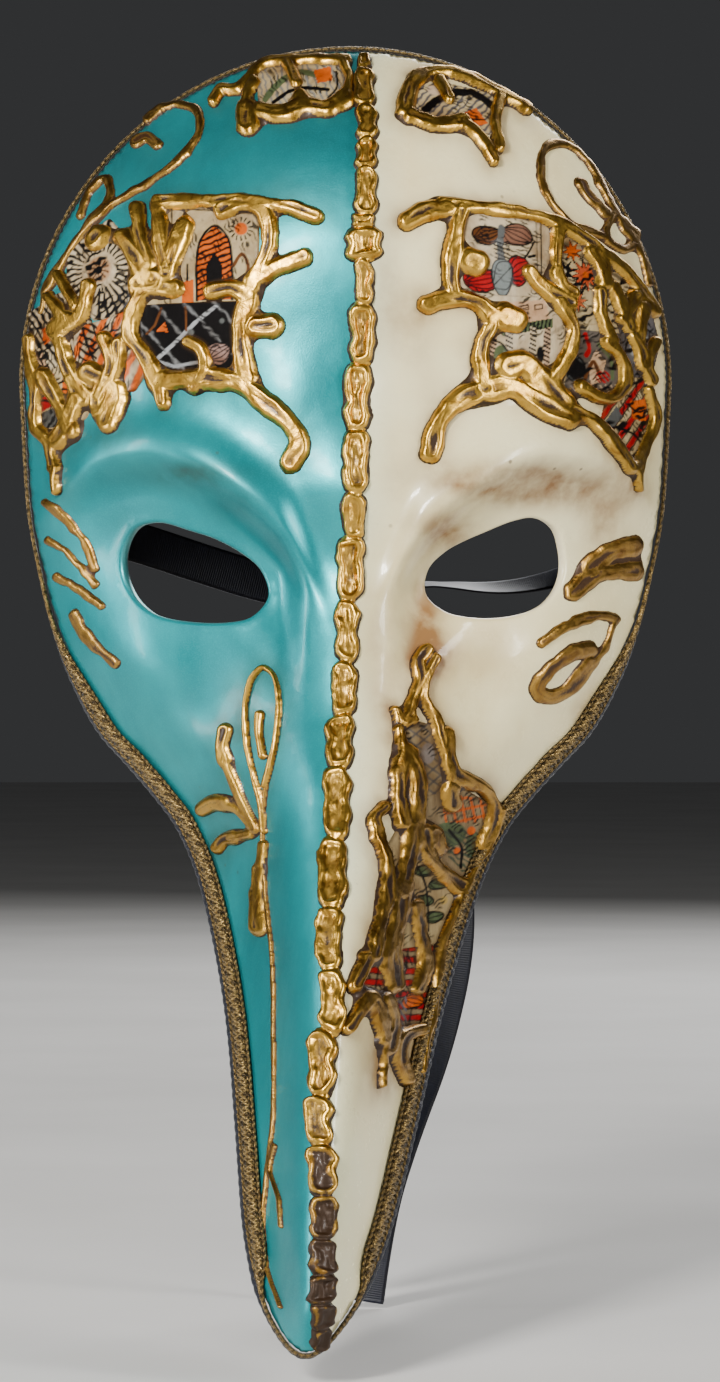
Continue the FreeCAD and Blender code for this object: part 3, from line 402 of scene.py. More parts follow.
def edge_point(turn, outset):
    """A point of the shell's edge, moved outward. turn goes from 0 at the top, once round by +X."""
    if turn > 0.5:
        x, z = edge_point(1 - turn, outset)
        return 2 * float(centre_x(z)) - x, z
    crown, start = 0.26, 0.46
    if turn < crown:
        angle = math.pi / 2 * turn / crown
        return ((CROWN_HALF + outset) * math.sin(angle),
                CROWN_BASE + (CROWN_RISE + outset) * math.cos(angle))
    if turn < start:
        z = CROWN_BASE + (TIP_START - CROWN_BASE) * (turn - crown) / (start - crown)
        slope = float(half_width(z + 0.5) - half_width(z - 0.5))
        inset = EDGE_INSET + (CROWN_INSET - EDGE_INSET) * float(above_eyes(z))
        push = (outset - inset) * math.hypot(1, slope)
        return float(centre_x(z) + half_width(z)) + push, z
    angle = math.pi / 2 * (turn - start) / (0.5 - start)
    slope = float(half_width(TIP_START + 0.5) - half_width(TIP_START - 0.5))
    half = float(half_width(TIP_START)) + (outset - EDGE_INSET) * math.hypot(1, slope)
    z = TIP_START - (TIP_LENGTH + outset) * math.sin(angle)
    across = half * math.cos(angle) + slope * (z - TIP_START) * math.cos(angle)
    return float(centre_x(z)) + across, z


# ---------------------------------------------------------------- curves in the X-Z plane
def evenly(points, spacing, closed=False):
    """The same line with points an even distance apart."""
    points = np.asarray(points, float)
    if closed:
        points = np.vstack([points, points[:1]])
    steps = np.linalg.norm(np.diff(points, axis=0), axis=1)
    run = np.concatenate([[0], np.cumsum(steps)])
    count = max(2, round(run[-1] / spacing) + 1)
    at = np.linspace(0, run[-1], count)
    line = np.stack([np.interp(at, run, points[:, k]) for k in range(points.shape[1])], 1)
    return line[:-1] if closed else line


def spline(points, closed=False):
    """A smooth curve through the points, in SPAN_STEPS a span: centripetal Catmull-Rom."""
    p = np.asarray(points, float)
    if len(p) == 2:
        return np.linspace(p[0], p[1], SPAN_STEPS)
    if closed:
        p = np.vstack([p[-1:], p, p[:2]])
    else:
        p = np.vstack([2 * p[0] - p[1], p, 2 * p[-1] - p[-2]])
    out = []
    for a, b, c, d in zip(p, p[1:], p[2:], p[3:]):
        knots = np.cumsum([0] + [max(np.linalg.norm(q - r), 1e-6) ** 0.5
                                 for q, r in ((b, a), (c, b), (d, c))])
        t = np.linspace(knots[1], knots[2], SPAN_STEPS, endpoint=False)[:, None]
        k0, k1, k2, k3 = knots
        ab = (k1 - t) / (k1 - k0) * a + (t - k0) / (k1 - k0) * b
        bc = (k2 - t) / (k2 - k1) * b + (t - k1) / (k2 - k1) * c
        cd = (k3 - t) / (k3 - k2) * c + (t - k2) / (k3 - k2) * d
        abc = (k2 - t) / (k2 - k0) * ab + (t - k0) / (k2 - k0) * bc
        bcd = (k3 - t) / (k3 - k1) * bc + (t - k1) / (k3 - k1) * cd
        out.append((k2 - t) / (k2 - k1) * abc + (t - k1) / (k2 - k1) * bcd)
    line = np.vstack(out)
    return line if closed else np.vstack([line, p[-2]])


def heading(loop):
    """The direction of a closed line at each of its points."""
    return unit(np.roll(loop, -1, axis=0) - np.roll(loop, 1, axis=0))


def inside(points, loop):
    """Whether each point is inside a closed loop."""
    x, z = points[:, 0], points[:, 1]
    within = np.zeros(len(points), bool)
    for (x0, z0), (x1, z1) in zip(loop, np.roll(loop, -1, axis=0)):
        crosses = (z0 > z) != (z1 > z)
        if z1 != z0:
            within ^= crosses & (x < (x1 - x0) * (z - z0) / (z1 - z0) + x0)
    return within


def wobble(points, size, seed=0.0):
    """Smooth noise of -1 to 1 at each point, with features of the given size."""
    at = np.asarray(points, float) / size + seed
    if at.shape[1] == 2:
        at = np.column_stack([at, np.full(len(at), seed)])
    return np.array([noise.noise(Vector(p)) for p in at])


# ---------------------------------------------------------------- meshes
def placed(name, data):
    """A new object in the scene."""
    made = bpy.data.objects.new(name, data)
    bpy.context.scene.collection.objects.link(made)
    return made


def new_mesh(name, points, faces, materials, attributes=None, slots=None):
    mesh = bpy.data.meshes.new(name)
    mesh.from_pydata((np.asarray(points) * MM).tolist(), [], [tuple(map(int, f)) for f in faces])
    for material in materials:
        mesh.materials.append(material)
    if slots is not None:
        mesh.polygons.foreach_set("material_index", np.asarray(slots, np.int32))
    mesh.polygons.foreach_set("use_smooth", np.ones(len(mesh.polygons), bool))
    for key, values in (attributes or {}).items():
        values = np.asarray(values, np.float32)
        if values.ndim == 1:
            layer = mesh.attributes.new(key, "FLOAT", "POINT")
            layer.data.foreach_set("value", values)
        else:
            layer = mesh.color_attributes.new(key, "FLOAT_COLOR", "POINT")
            rgb_one = np.column_stack([values, np.ones(len(values), np.float32)])
            layer.data.foreach_set("color", rgb_one.ravel())
    mesh.update()
    mesh.validate()
    return placed(name, mesh)


def hand_over(piece, node_name):
    """Gives a piece to the frame: it rides on the one body and stands for one CAD node."""
    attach(piece, BODY)
    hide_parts(node_name)


def triangles_in(loops, inner_points, holes):
    """Triangles over the area inside the first loop and outside the holes, with every loop kept."""
    points, edges = [], []
    for loop in loops:
        first, count = len(points), len(loop)
        points += [tuple(p) for p in loop]
        edges += [(first + i, first + (i + 1) % count) for i in range(count)]
    points += [tuple(p) for p in inner_points]
    result = delaunay_2d_cdt([Vector(p) for p in points], edges, [], 0, 1e-5)
    at = np.array([tuple(v) for v in result[0]])
    faces = np.array(result[2])
    middle = at[faces].mean(1)
    keep = inside(middle, loops[0])
    for hole in holes:
        keep &= ~inside(middle, hole)
    faces = faces[keep]
    a, b, c = (at[faces[:, k]] for k in range(3))
    turning = (b[:, 0] - a[:, 0]) * (c[:, 1] - a[:, 1]) - (b[:, 1] - a[:, 1]) * (c[:, 0] - a[:, 0])
    faces = np.where((turning < 0)[:, None], faces[:, [0, 2, 1]], faces)
    return at, faces[np.abs(turning) > 1e-9]


def rim_edges(faces):
    """Directed edges that only one face has."""
    seen = {(int(a), int(b)): True for f in faces for a, b in zip(f, np.roll(f, -1))}
    return [(a, b) for a, b in seen if (b, a) not in seen]


def tube_faces(count, ring, closed_ring=True):
    """Quads of a closed tube: count sections, each with ring points."""
    i = np.arange(count)[:, None]
    k = np.arange(ring if closed_ring else ring - 1)[None, :]
    j, m = (i + 1) % count, (k + 1) % ring
    return np.stack([i * ring + k, i * ring + m, j * ring + m, j * ring + k], -1).reshape(-1, 4)


def near(points, line):
    """Distance to the nearest point of a finely divided line, and that point's number."""
    best = np.empty(len(points))
    which = np.empty(len(points), int)
    for start in range(0, len(points), 4000):
        part = points[start:start + 4000]
        gaps = ((part[:, None, 0] - line[None, :, 0]) ** 2
                + (part[:, None, 1] - line[None, :, 1]) ** 2)
        nearest = gaps.argmin(1)
        which[start:start + 4000] = nearest
        best[start:start + 4000] = np.sqrt(gaps[np.arange(len(part)), nearest])
    return best, which


def relief_mesh(name, low, high, step, height_of, material, lift=0.0):
    """A raised layer on the shell. height_of gives heights, below 0 outside it, and attributes."""
    xs = np.arange(low[0], high[0] + step, step)
    zs = np.arange(low[1], high[1] + step, step)
    grid_x, grid_z = np.meshgrid(xs, zs)
    points = np.column_stack([grid_x.ravel(), grid_z.ravel()])
    height, attributes = height_of(points)
    columns = len(xs)
    cell = (np.arange(len(zs) - 1)[:, None] * columns + np.arange(columns - 1)).ravel()
    quads = np.column_stack([cell, cell + 1, cell + columns + 1, cell + columns])
    quads = quads[height[quads].max(1) > -0.02]
    used, faces = np.unique(quads, return_inverse=True)
    faces = faces.reshape(-1, 4)
    at = points[used]
    skin = on_face(at[:, 0], at[:, 1], np.maximum(height[used], -0.45) + lift)
    attributes = {key: value[used] for key, value in attributes.items()}
    return new_mesh(name, skin, faces, [material], attributes)


def piped(drawn, high, seed, rimmed=0.36, wrinkle=0.15, shake=0.42):
    """The height of piped stucco laid along strokes, each (width, points)."""
    lines = [(width, evenly(spline(points), STROKE_STEP)) for width, points in drawn]
    low = np.min([line.min(0) - width / 2 - 1.6 for width, line in lines], axis=0)
    high_corner = np.max([line.max(0) + width / 2 + 1.6 for width, line in lines], axis=0)

    def height_of(points):
        warp = np.column_stack([wobble(points, 2.6, seed), wobble(points, 2.6, seed + 9)])
        at = points + shake * warp
        crest = np.zeros(len(points))
        field = np.zeros(len(points))
        hollow = np.zeros(len(points))
        lumps = wobble(points, 1.9, seed + 4)
        for number, (width, line) in enumerate(lines):
            half = width / 2
            box = (at >= line.min(0) - width - 1).all(1) & (at <= line.max(0) + width + 1).all(1)
            here = np.flatnonzero(box)
            gap, which = near(at[here], line)
            # a drawn line thins and swells along its way
            run = which * STROKE_STEP
            r = gap / (half * (1 + 0.12 * np.sin(run / 2.3 + 1.7 * number)))
            field[here] += np.exp(-0.75 * r * r)
            ahead = np.gradient(line, axis=0)[which]
            side = (at[here] - line[which])[:, ::-1] * ahead
            signed = np.sign(side[:, 0] - side[:, 1]) * gap
            folds = wobble(np.column_stack([run / 7.5, signed / 0.55]), 1.0, seed + number)
            tall = high * min(1.0, 0.66 + 0.12 * width)
            dome = np.clip(1 - r ** 2.4, 0, 1) ** 0.55
            dip = rimmed * np.clip((width - 1.6) / 1.4, 0, 1) * smooth(1 - r / 0.7)
            dip = dip * (0.7 + 0.5 * np.sin(run / 2.7 + number))
            h = tall * (dome - dip + wrinkle * folds * np.clip(dome * 1.4, 0, 1))
            better = h > crest[here]
            hollow[here] = np.where(better, dip + 0.25 * np.clip(-folds, 0, 1), hollow[here])
            crest[here] = np.maximum(crest[here], h)
        flow = np.sqrt(np.clip((field - SHORE) / (1 - SHORE), 0, 1))
        bed = WEB * high * flow * (1 + 0.15 * lumps)
        total = np.maximum(crest, bed) + 0.35 * np.minimum(crest, bed) * flow
        total = np.minimum(total, high * 1.05 + 0.1 * lumps)
        valley = np.clip((bed - crest) / (0.3 * high), 0, 1)
        total = np.where(field < SHORE, (field - SHORE) * 4, total)
        # edge marks each stroke's rim, where the gold is darkened as painted shade
        return total, {"edge": smooth(1 - flow / 0.42), "hollow": np.maximum(hollow, 0.35 * valley),
                       "tall": np.clip(total / high, 0, 1)}

    return low, high_corner, height_of


# ---------------------------------------------------------------- camera
camera_data = bpy.data.cameras.new("view")
camera_data.sensor_width = 36.0
camera_data.lens = 246.0 * 720 / 1382      # the sensor's width lies along the picture's height
camera = placed("view", camera_data)
camera.location = (0.00354, -1.2, -0.0295)
camera.rotation_euler = (math.radians(90), 0, 0)
bpy.context.scene.camera = camera


# ---------------------------------------------------------------- materials
class Wire:
    """The output of a node. Arithmetic on it adds math nodes and gives another wire."""

    def __init__(self, paint, socket):
        self.paint, self.socket = paint, socket

    def math(self, how, *others, clamp=False):
        return self.paint.math(how, self, *others, clamp=clamp)

    def __add__(self, other):
        return self.math("ADD", other)

    def __sub__(self, other):
        return self.math("SUBTRACT", other)

    def __rsub__(self, other):
        return self.paint.math("SUBTRACT", other, self)

    def __mul__(self, other):
        return self.math("MULTIPLY", other)

    def __truediv__(self, other):
        return self.math("DIVIDE", other)


def rgba(value):
    """A colour from three numbers, or a grey from one."""
    return (*value, 1) if hasattr(value, "__len__") else (value, value, value, 1)


def feed(socket, value):
    """Links a wire to an input, or sets the input to a number, a vector or a colour."""
    if isinstance(value, Wire):
        socket.id_data.links.new(value.socket, socket)
    else:
        socket.default_value = rgba(value) if socket.type == "RGBA" else value


class Paint:
    """A material. Its methods add nodes and give back the wires out of them."""

    def __init__(self, name):
        self.material = bpy.data.materials.new(name)
        self.material.use_nodes = True
        self.tree = self.material.node_tree
        self.place = self.node("TexCoord", {}, "Object")

    def node(self, kind, inputs, output=0, **settings):
        made = self.tree.nodes.new("ShaderNode" + kind)
        for key, value in settings.items():
            setattr(made, key, value)
        for key, value in inputs.items():
            feed(made.inputs[key], value)
        return Wire(self, made.outputs[output])

    def math(self, how, *values, clamp=False):
        return self.node("Math", dict(enumerate(values)), operation=how, use_clamp=clamp)

    def mix(self, fac, a, b, how="MIX"):
        return self.node("Mix", {0: fac, 6: a, 7: b}, 2, data_type="RGBA", blend_type=how)

    def stored(self, name, output="Fac"):
        return self.node("Attribute", {}, output, attribute_name=name)

    def mapped(self, **how):
        return self.node("Mapping", {"Vector": self.place, **how})

    def speckle(self, scale, detail=3.0, rough=0.6, distort=0.0, stretch=None):
        """Noise over the object's own metres: scale is in features per metre."""
        at = self.mapped(Scale=stretch) if stretch else self.place
        return self.node("TexNoise", {"Vector": at, "Scale": scale, "Detail": detail,
                                      "Roughness": rough, "Distortion": distort}, "Fac")

    def cells(self, output, scale, randomness, at=None, **settings):
        return self.node("TexVoronoi", {"Vector": at or self.place, "Scale": scale,
                                        "Randomness": randomness}, output, **settings)

    def ramp(self, fac, *stops):
        """A colour ramp through stops, each (position, colour or grey)."""
        made = self.node("ValToRGB", {"Fac": fac}, "Color")
        table = made.socket.node.color_ramp.elements
        while len(table) < len(stops):
            table.new(0.5)
        for element, (at, colour) in zip(table, stops):
            element.position = at
            element.color = rgba(colour)
        return made

    def bump(self, height, strength, distance, over=None):
        inputs = {"Height": height, "Strength": strength, "Distance": distance}
        return self.node("Bump", inputs | ({"Normal": over} if over else {}))

    def finish(self, **values):
        """Feeds the shader's inputs, by their names in lower case, and gives the material."""
        sockets = self.tree.nodes["Principled BSDF"].inputs
        names = {socket.name.lower().replace(" ", "_"): socket for socket in sockets}
        for key, value in values.items():
            feed(names[key], value)
        return self.material


def lacquer():
    """Pearl teal on one half and ivory on the other, antiqued with a brown wash; on the teal half
    its darker patches are partly painted shade.
    """
    p = Paint("lacquer")
    cloud = p.speckle(26, 4, 0.55)
    streak = p.speckle(60, 4, 0.6, 0.4, (1, 1, 0.35))
    grain = p.speckle(2600, 2, 0.7)
    teal = p.ramp(cloud * 0.6 + streak * 0.4, (0.3, (0.002, 0.20, 0.225)),
                  (0.5, (0.006, 0.29, 0.32)), (0.72, (0.012, 0.40, 0.43)))
    teal = p.mix(p.ramp(grain, (0.45, 0.0), (0.8, 0.4)), teal, (0.02, 0.46, 0.48))
    ivory = p.ramp(cloud, (0.3, (0.80, 0.66, 0.33)), (0.5, (0.93, 0.83, 0.47)),
                   (0.75, (0.97, 0.90, 0.55)))
    across = p.stored("across")
    edge = across + p.speckle(300) * 0.8
    side = edge.math("MAXIMUM", 0.0).math("SMOOTH_MIN", 1.0, 0.2)      # 0 on teal, 1 on ivory
    spill = p.ramp(across / 12.0, (0.15, 0.5), (0.85, 0.0)) * cloud
    ivory = p.mix(spill, ivory, (0.34, 0.60, 0.54))
    blotch = p.ramp(p.speckle(120, 4, 0.55), (0.30, 0.1), (0.62, 1.0))
    # painted shade: on the teal half this darkening is partly painted shade; on the ivory it is a
    # brown wash
    wash_and_shade = (blotch * 0.6 + 0.4).math("MULTIPLY", p.stored("stain_and_shade"), clamp=True)
    brown = p.mix(side, (0.035, 0.07, 0.05), (0.24, 0.115, 0.034))
    base = p.mix(wash_and_shade, p.mix(side, teal, ivory), brown)
    specks = p.ramp(p.cells("Distance", 120.0, 1.0), (0.035, 0.75), (0.075, 0.0))
    base = p.mix(specks * p.ramp(cloud, (0.5, 0.0), (0.62, 1.0)), base, (0.13, 0.085, 0.04))
    base = p.mix(p.stored("raw"), base, (0.72, 0.64, 0.46))
    gloss = p.mix(wash_and_shade, p.mix(side, 0.34, 0.22), 0.5)
    bulge_shading = p.bump(p.speckle(45, 3, 0.5), 0.35, 0.0012)
    return p.finish(base_color=base, metallic=(1.0 - side) * 0.62,
                    roughness=gloss + p.speckle(700, 2, 0.5) * 0.08,
                    specular_ior_level=0.4, coat_weight=p.mix(side, 0.22, 0.45),
                    coat_roughness=p.mix(side, 0.15, 0.08), coat_ior=1.45, coat_normal=bulge_shading,
                    normal=p.bump(grain, 0.16, 0.0002, bulge_shading))


def inner_paper():
    """The inside: torn paper strips under a dark brushed paint."""
    p = Paint("inner_paper")
    at = p.mapped(Rotation=(0, 0.5, 0), Scale=(55, 30, 26))
    shades = p.ramp(p.cells("Color", 1.0, 0.9, at), (0.2, 0.3), (0.8, 0.75))
    gap = p.cells("Distance", 1.0, 0.9, at, feature="DISTANCE_TO_EDGE")
    brush = p.speckle(500, 4, 0.6, 0.3, (1, 1, 0.16))
    tone = p.ramp(brush, (0.3, (0.045, 0.037, 0.029)), (0.7, (0.105, 0.087, 0.068)))
    tone = p.mix(0.5, tone, shades, "SOFT_LIGHT")
    tone = p.mix(p.ramp(gap, (0.0, 1.0), (0.035, 0.0)) * 0.4, tone, (0.16, 0.13, 0.10))
    height = brush * 0.25 + p.ramp(gap, (0.0, 1.0), (0.06, 0.0))
    return p.finish(base_color=tone, roughness=p.ramp(brush, (0.3, 0.5), (0.8, 0.72)),
                    normal=p.bump(height, 0.7, 0.0005))


def gilt(name, bright, deep, patina, dull=0.0):
    """Gold leaf over stucco: brown patina in the hollows, and painted shade at the edges of strokes
    and where the stucco is low, so the crests stay bright.
    """
    p = Paint(name)
    leaf = p.speckle(200, 4, 0.6, 0.8)
    fine = p.speckle(1500, 3, 0.65)
    gold = p.ramp(leaf, (0.30, deep), (0.52, bright), (0.75, [min(1, 1.15 * c) for c in bright]))
    # hollow is patina; edge and the low parts (1 - tall) darken the gold as painted shade
    darkening = p.stored("hollow") * (2.3 + dull) + p.stored("edge") * 0.95
    darkening = darkening + (1.0 - p.stored("tall")) * 0.30
    darkening = darkening + (leaf - 0.5) + (fine - 0.5) * 0.6
    brown = p.ramp(darkening + dull, (0.38, 0.0), (0.95, 1.0))
    return p.finish(base_color=p.mix(brown, gold, patina), metallic=1.0 - brown * 0.6,
                    roughness=p.ramp(fine, (0.3, 0.27), (0.8, 0.40)) + brown * 0.2,
                    coat_weight=0.1, coat_roughness=0.1,
                    normal=p.bump(fine, 0.15, 0.0001, p.bump(leaf, 0.4, 0.0006)))


def printed():
    """Varnished, aged print on thin paper, with its inks in the ink attribute."""
    p = Paint("printed_paper")
    fibre = p.speckle(900, 4, 0.7, 0.2, (1, 1, 0.4))
    age = p.speckle(90, 4, 0.6, 0.5)
    weave = p.ramp(fibre, (0.3, 0.5), (0.75, 0.9))
    tone = p.mix(0.45, p.stored("ink", "Color"), weave, "MULTIPLY")
    tone = p.mix(p.ramp(age, (0.4, 0.0), (0.7, 0.75)), tone, (0.30, 0.18, 0.08), "MULTIPLY")
    # painted shade: the paper darkens at the scrap's edge and beside the gold strokes that lie over
    # it
    tone = p.mix(p.stored("stain_and_shade") * 0.85, tone, (0.06, 0.03, 0.01))
    return p.finish(base_color=tone, roughness=0.6, coat_weight=0.08, coat_roughness=0.12,
                    specular_ior_level=0.06, normal=p.bump(fibre + age, 0.3, 0.0002))


def threads(name, dark, light, metal):
    """Twisted thread: colour follows the turn attribute, as painted highlight and shade along each
    twist, and so do the bumps.
    """
    p = Paint(name)
    turn = p.stored("turn")
    fibre = p.speckle(1500, 3, 0.7)
    return p.finish(base_color=p.ramp(turn * 0.65 + fibre * 0.5, (0.25, dark), (0.85, light)),
                    metallic=metal, roughness=p.ramp(fibre, (0.35, 0.26), (0.7, 0.6)),
                    sheen_weight=0.05, sheen_roughness=0.4,
                    normal=p.bump(fibre + (turn * 24.0).math("SINE"), 0.5, 0.00018))


def satin():
    """Navy satin, darkened to near black as painted shade: a fine warp, ribs across it, and a
    darker selvedge at each edge.
    """
    p = Paint("navy_satin")
    warp = p.speckle(1400, 3, 0.6, 0, (1, 1, 0.2))
    rib = (p.stored("along") * (2 * math.pi / SATIN_RIB)).math("SINE")
    selvedge = p.ramp(p.stored("across").math("ABSOLUTE"), (0.82, 0.0), (0.9, 1.0))
    # painted shade: the navy is darkened to near black, as it looks in the shade behind the mask
    tone = p.ramp(warp, (0.3, (0.002, 0.003, 0.008)), (0.75, (0.005, 0.007, 0.018)))
    return p.finish(base_color=p.mix(selvedge, tone, (0.002, 0.002, 0.006)), roughness=0.45,
                    specular_ior_level=0.3, sheen_weight=0.12, sheen_roughness=0.35,
                    sheen_tint=(0.3, 0.36, 0.7), normal=p.bump(rib * 0.35 + warp, 0.4, 0.00012))


def matt(name, noise, low, high, roughness, relief=0.0):
    """A matt surface whose colour wanders between two shades."""
    p = Paint(name)
    fibre = p.speckle(*noise)
    values = {"normal": p.bump(fibre, relief, 0.0003)} if relief else {}
    return p.finish(base_color=p.ramp(fibre, (0.3, low), (0.7, high)), roughness=roughness,
                    **values)


LACQUER = lacquer()
INNER = inner_paper()
GILT = gilt("gold_leaf", (0.62, 0.36, 0.055), (0.32, 0.15, 0.02), (0.030, 0.012, 0.002))
BRUSHED = gilt("brushed_gold", (0.46, 0.26, 0.055), (0.24, 0.11, 0.018), (0.050, 0.020, 0.004),
               0.12)
AGED = gilt("aged_gold", (0.52, 0.29, 0.05), (0.22, 0.10, 0.014), (0.028, 0.011, 0.003), 0.1)
PRINT = printed()
BRAID = threads("gold_thread", (0.022, 0.013, 0.004), (0.30, 0.20, 0.07), 0.75)
BINDING = threads("navy_cord", (0.002, 0.0025, 0.006), (0.008, 0.010, 0.022), 0.0)
SATIN = satin()
PATCH = matt("patch_paper", (700, 5, 0.7, 0.4), (0.05, 0.042, 0.035), (0.12, 0.10, 0.08), 0.8, 0.6)
FLOOR = matt("pale_floor", (9, 3, 0.5), (0.60, 0.59, 0.57), (0.66, 0.65, 0.63), 0.85)

# ---------------------------------------------------------------- ribbons, control points in metres
LEFT_RIBBON = [(-0.066, -0.014, 0.010), (-0.062, -0.002, 0.0095), (-0.051, 0.005, 0.007),
               (-0.036, 0.009, 0.002), (-0.020, 0.012, -0.003), (-0.004, 0.014, -0.006),
               (0.003, 0.0145, -0.013), (0.001, 0.015, -0.030), (-0.004, 0.015, -0.052),
               (-0.007, 0.0145, -0.078), (-0.005, 0.0145, -0.105), (-0.008, 0.015, -0.132),
               (-0.006, 0.015, -0.158)]
RIGHT_RIBBON = [(0.066, -0.014, 0.006), (0.062, -0.002, 0.0025), (0.052, 0.005, -0.002),
                (0.038, 0.009, -0.0045), (0.022, 0.012, -0.003), (0.009, 0.014, -0.004),
                (0.004, 0.0135, -0.011), (0.008, 0.013, -0.027), (0.018, 0.013, -0.048),
                (0.026, 0.013, -0.070), (0.0275, 0.013, -0.092), (0.022, 0.013, -0.117),
                (0.013, 0.013, -0.140), (0.007, 0.013, -0.160), (0.0045, 0.013, -0.180)]


def spline_line(route):
    """Points along a NURBS spline whose control points are the route's."""
    curve = bpy.data.curves.new("route", "CURVE")
    curve.dimensions = "3D"
    curve.resolution_u = 16
    line = curve.splines.new("NURBS")
    line.points.add(len(route) - 1)
    for point, at in zip(line.points, route):
        point.co = (*at, 1)
    line.order_u = 3
    line.use_endpoint_u = True
    holder = placed("route", curve)
    bpy.context.view_layer.update()
    mesh = bpy.data.meshes.new_from_object(holder)
    points = np.array([v.co for v in mesh.vertices], float)
    bpy.data.objects.remove(holder)
    bpy.data.meshes.remove(mesh)
    return points


def ribbon(name, node_name, route, facing):
    """A flat satin ribbon. facing lists (share of the route, direction of the ribbon's width)."""
    metres = spline_line(route)
    line = evenly(metres / MM, 1.0)
    share = np.linspace(0, 1, len(line))
    shares, widths = zip(*facing)
    across = np.stack([np.interp(share, shares, [w[k] for w in widths]) for k in range(3)], 1)
    half, thick = RIBBON_WIDTH / 2, 0.22
    t = np.linspace(-1, 1, 13)
    flat_ring = np.column_stack([half * np.concatenate([t, t[::-1]]),
                                 np.repeat([thick, -thick], len(t))])
    section = np.repeat(flat_ring[None], len(line), 0)
    run = share * len(line)
    curl = 0.9 * np.sin(run / 17 + 1) + 0.5 * np.sin(run / 7.3)
    section[..., 1] += curl[:, None] * (1 - (flat_ring[None, :, 0] / half) ** 2) * 0.6
    tapered = smooth(np.minimum(share, 1 - share) / 0.004)
    section[..., 0] *= (0.97 + 0.03 * tapered)[:, None]
    ahead = unit(np.gradient(line, axis=0))
    side = unit(across - (across * ahead).sum(1, keepdims=True) * ahead)
    over = np.cross(side, ahead)
    points = (line[:, None, :] + section[..., 0, None] * side[:, None, :]
              + section[..., 1, None] * over[:, None, :])
    count, ring = points.shape[:2]
    ends = [range(ring), range(count * ring - 1, (count - 1) * ring - 1, -1)]
    faces = [*tube_faces(count, ring)[:-ring], *ends]
    values = {"across": np.tile(flat_ring[:, 0] / half, count),
              "along": np.repeat(share * np.linalg.norm(np.diff(line, axis=0), axis=1).sum(), ring)}
    piece = new_mesh(name, points.reshape(-1, 3), faces, [SATIN], values)
    hand_over(piece, node_name)


ribbon("tie_ribbon_left", "left_ribbon", LEFT_RIBBON,
       [(0, (0, 0.1, 1)), (0.3, (0.05, 0.2, 1)), (0.40, (0.6, 0.3, 0.6)), (0.5, (1, 0.2, 0)),
        (0.8, (1, -0.25, 0)), (1, (1, 0.2, 0))])
ribbon("tie_ribbon_right", "right_ribbon", RIGHT_RIBBON,
       [(0, (0, 0.3, 1)), (0.1, (0, 1, 0.5)), (0.22, (0, 1, 0.12)), (0.32, (0.4, 0.7, 0.3)),
        (0.42, (1, 0.2, 0)), (0.7, (1, 0.3, 0)), (1, (1, -0.2, 0))])


def knot():
    """The overhand knot of the two ribbons: bands of ribbon wound round a small core."""
    centre, half = np.array([3.0, 14.0, -6.0]), np.array([8.0, 5.0, 7.0])
    # each band's axis, its size as a share of the knot's, and its width
    turns = [((0.15, 0.0, 1.0), 0.93, 2.6), ((1.0, 0.1, 0.35), 0.86, 3.0),
             ((0.8, -0.1, -0.7), 0.80, 2.6)]
    t = np.linspace(0, 2 * math.pi, 64, endpoint=False)
    lanes = np.linspace(-1, 1, 7)
    there_and_back = np.concatenate([lanes, lanes[::-1]])
    count = len(there_and_back)
    points, faces = [], []
    for number, (axis, size, width) in enumerate(turns):
        pole = unit(np.array(axis))
        first = unit(np.cross(pole, (0, 1, 0)))
        ring = np.cos(t)[:, None] * first + np.sin(t)[:, None] * np.cross(pole, first)
        shell = []
        for lane, lift in zip(there_and_back, np.repeat([1.0, 0.9], len(lanes))):
            crown = 1 - 0.10 * lane ** 2 + 0.02 * np.sin(5 * t + 3 * lane)
            at = ring * (size * lift * crown)[:, None] + pole * lane * width / 8
            shell.append(centre + at * half)
        points.append(np.stack(shell, 1).reshape(-1, 3))
        faces.append(tube_faces(len(t), count) + number * len(t) * count)
    values = {"across": np.tile(there_and_back, len(t) * len(turns)) * 0.8,
              "along": np.tile(np.repeat(t * 6, count), len(turns))}
    piece = new_mesh("tie_knot", np.vstack(points), np.vstack(faces), [SATIN], values)
    hand_over(piece, "ribbon_knot")


knot()


# ---------------------------------------------------------------- shell
def chain_x(z):
    """Where the line of the centre chain runs."""
    table = sorted([((top + bottom) / 2, x) for x, top, bottom, width in CHAIN])
    return np.interp(z, [t[0] for t in table], [t[1] for t in table])


GOLD_STROKES = (LEFT_BROW_FRAME + RIGHT_BROW_FRAME + LEFT_CROWN_FRAME + RIGHT_CROWN_FRAME
                + LEFT_NOSE_FLOURISH + RIGHT_BEAK_FRAME)
EDGE = np.array([edge_point(i / 720, 0.0) for i in range(720)])


def eye_loop(hole, outset=0.0):
    """The edge of an eye hole, or a line a little outside it."""
    loop = evenly(spline(hole, closed=True), 0.8, closed=True)
    out = heading(loop)[:, ::-1] * (1, -1)
    if ((loop - loop.mean(0)) * out).sum() < 0:
        out = -out
    return loop + out * outset


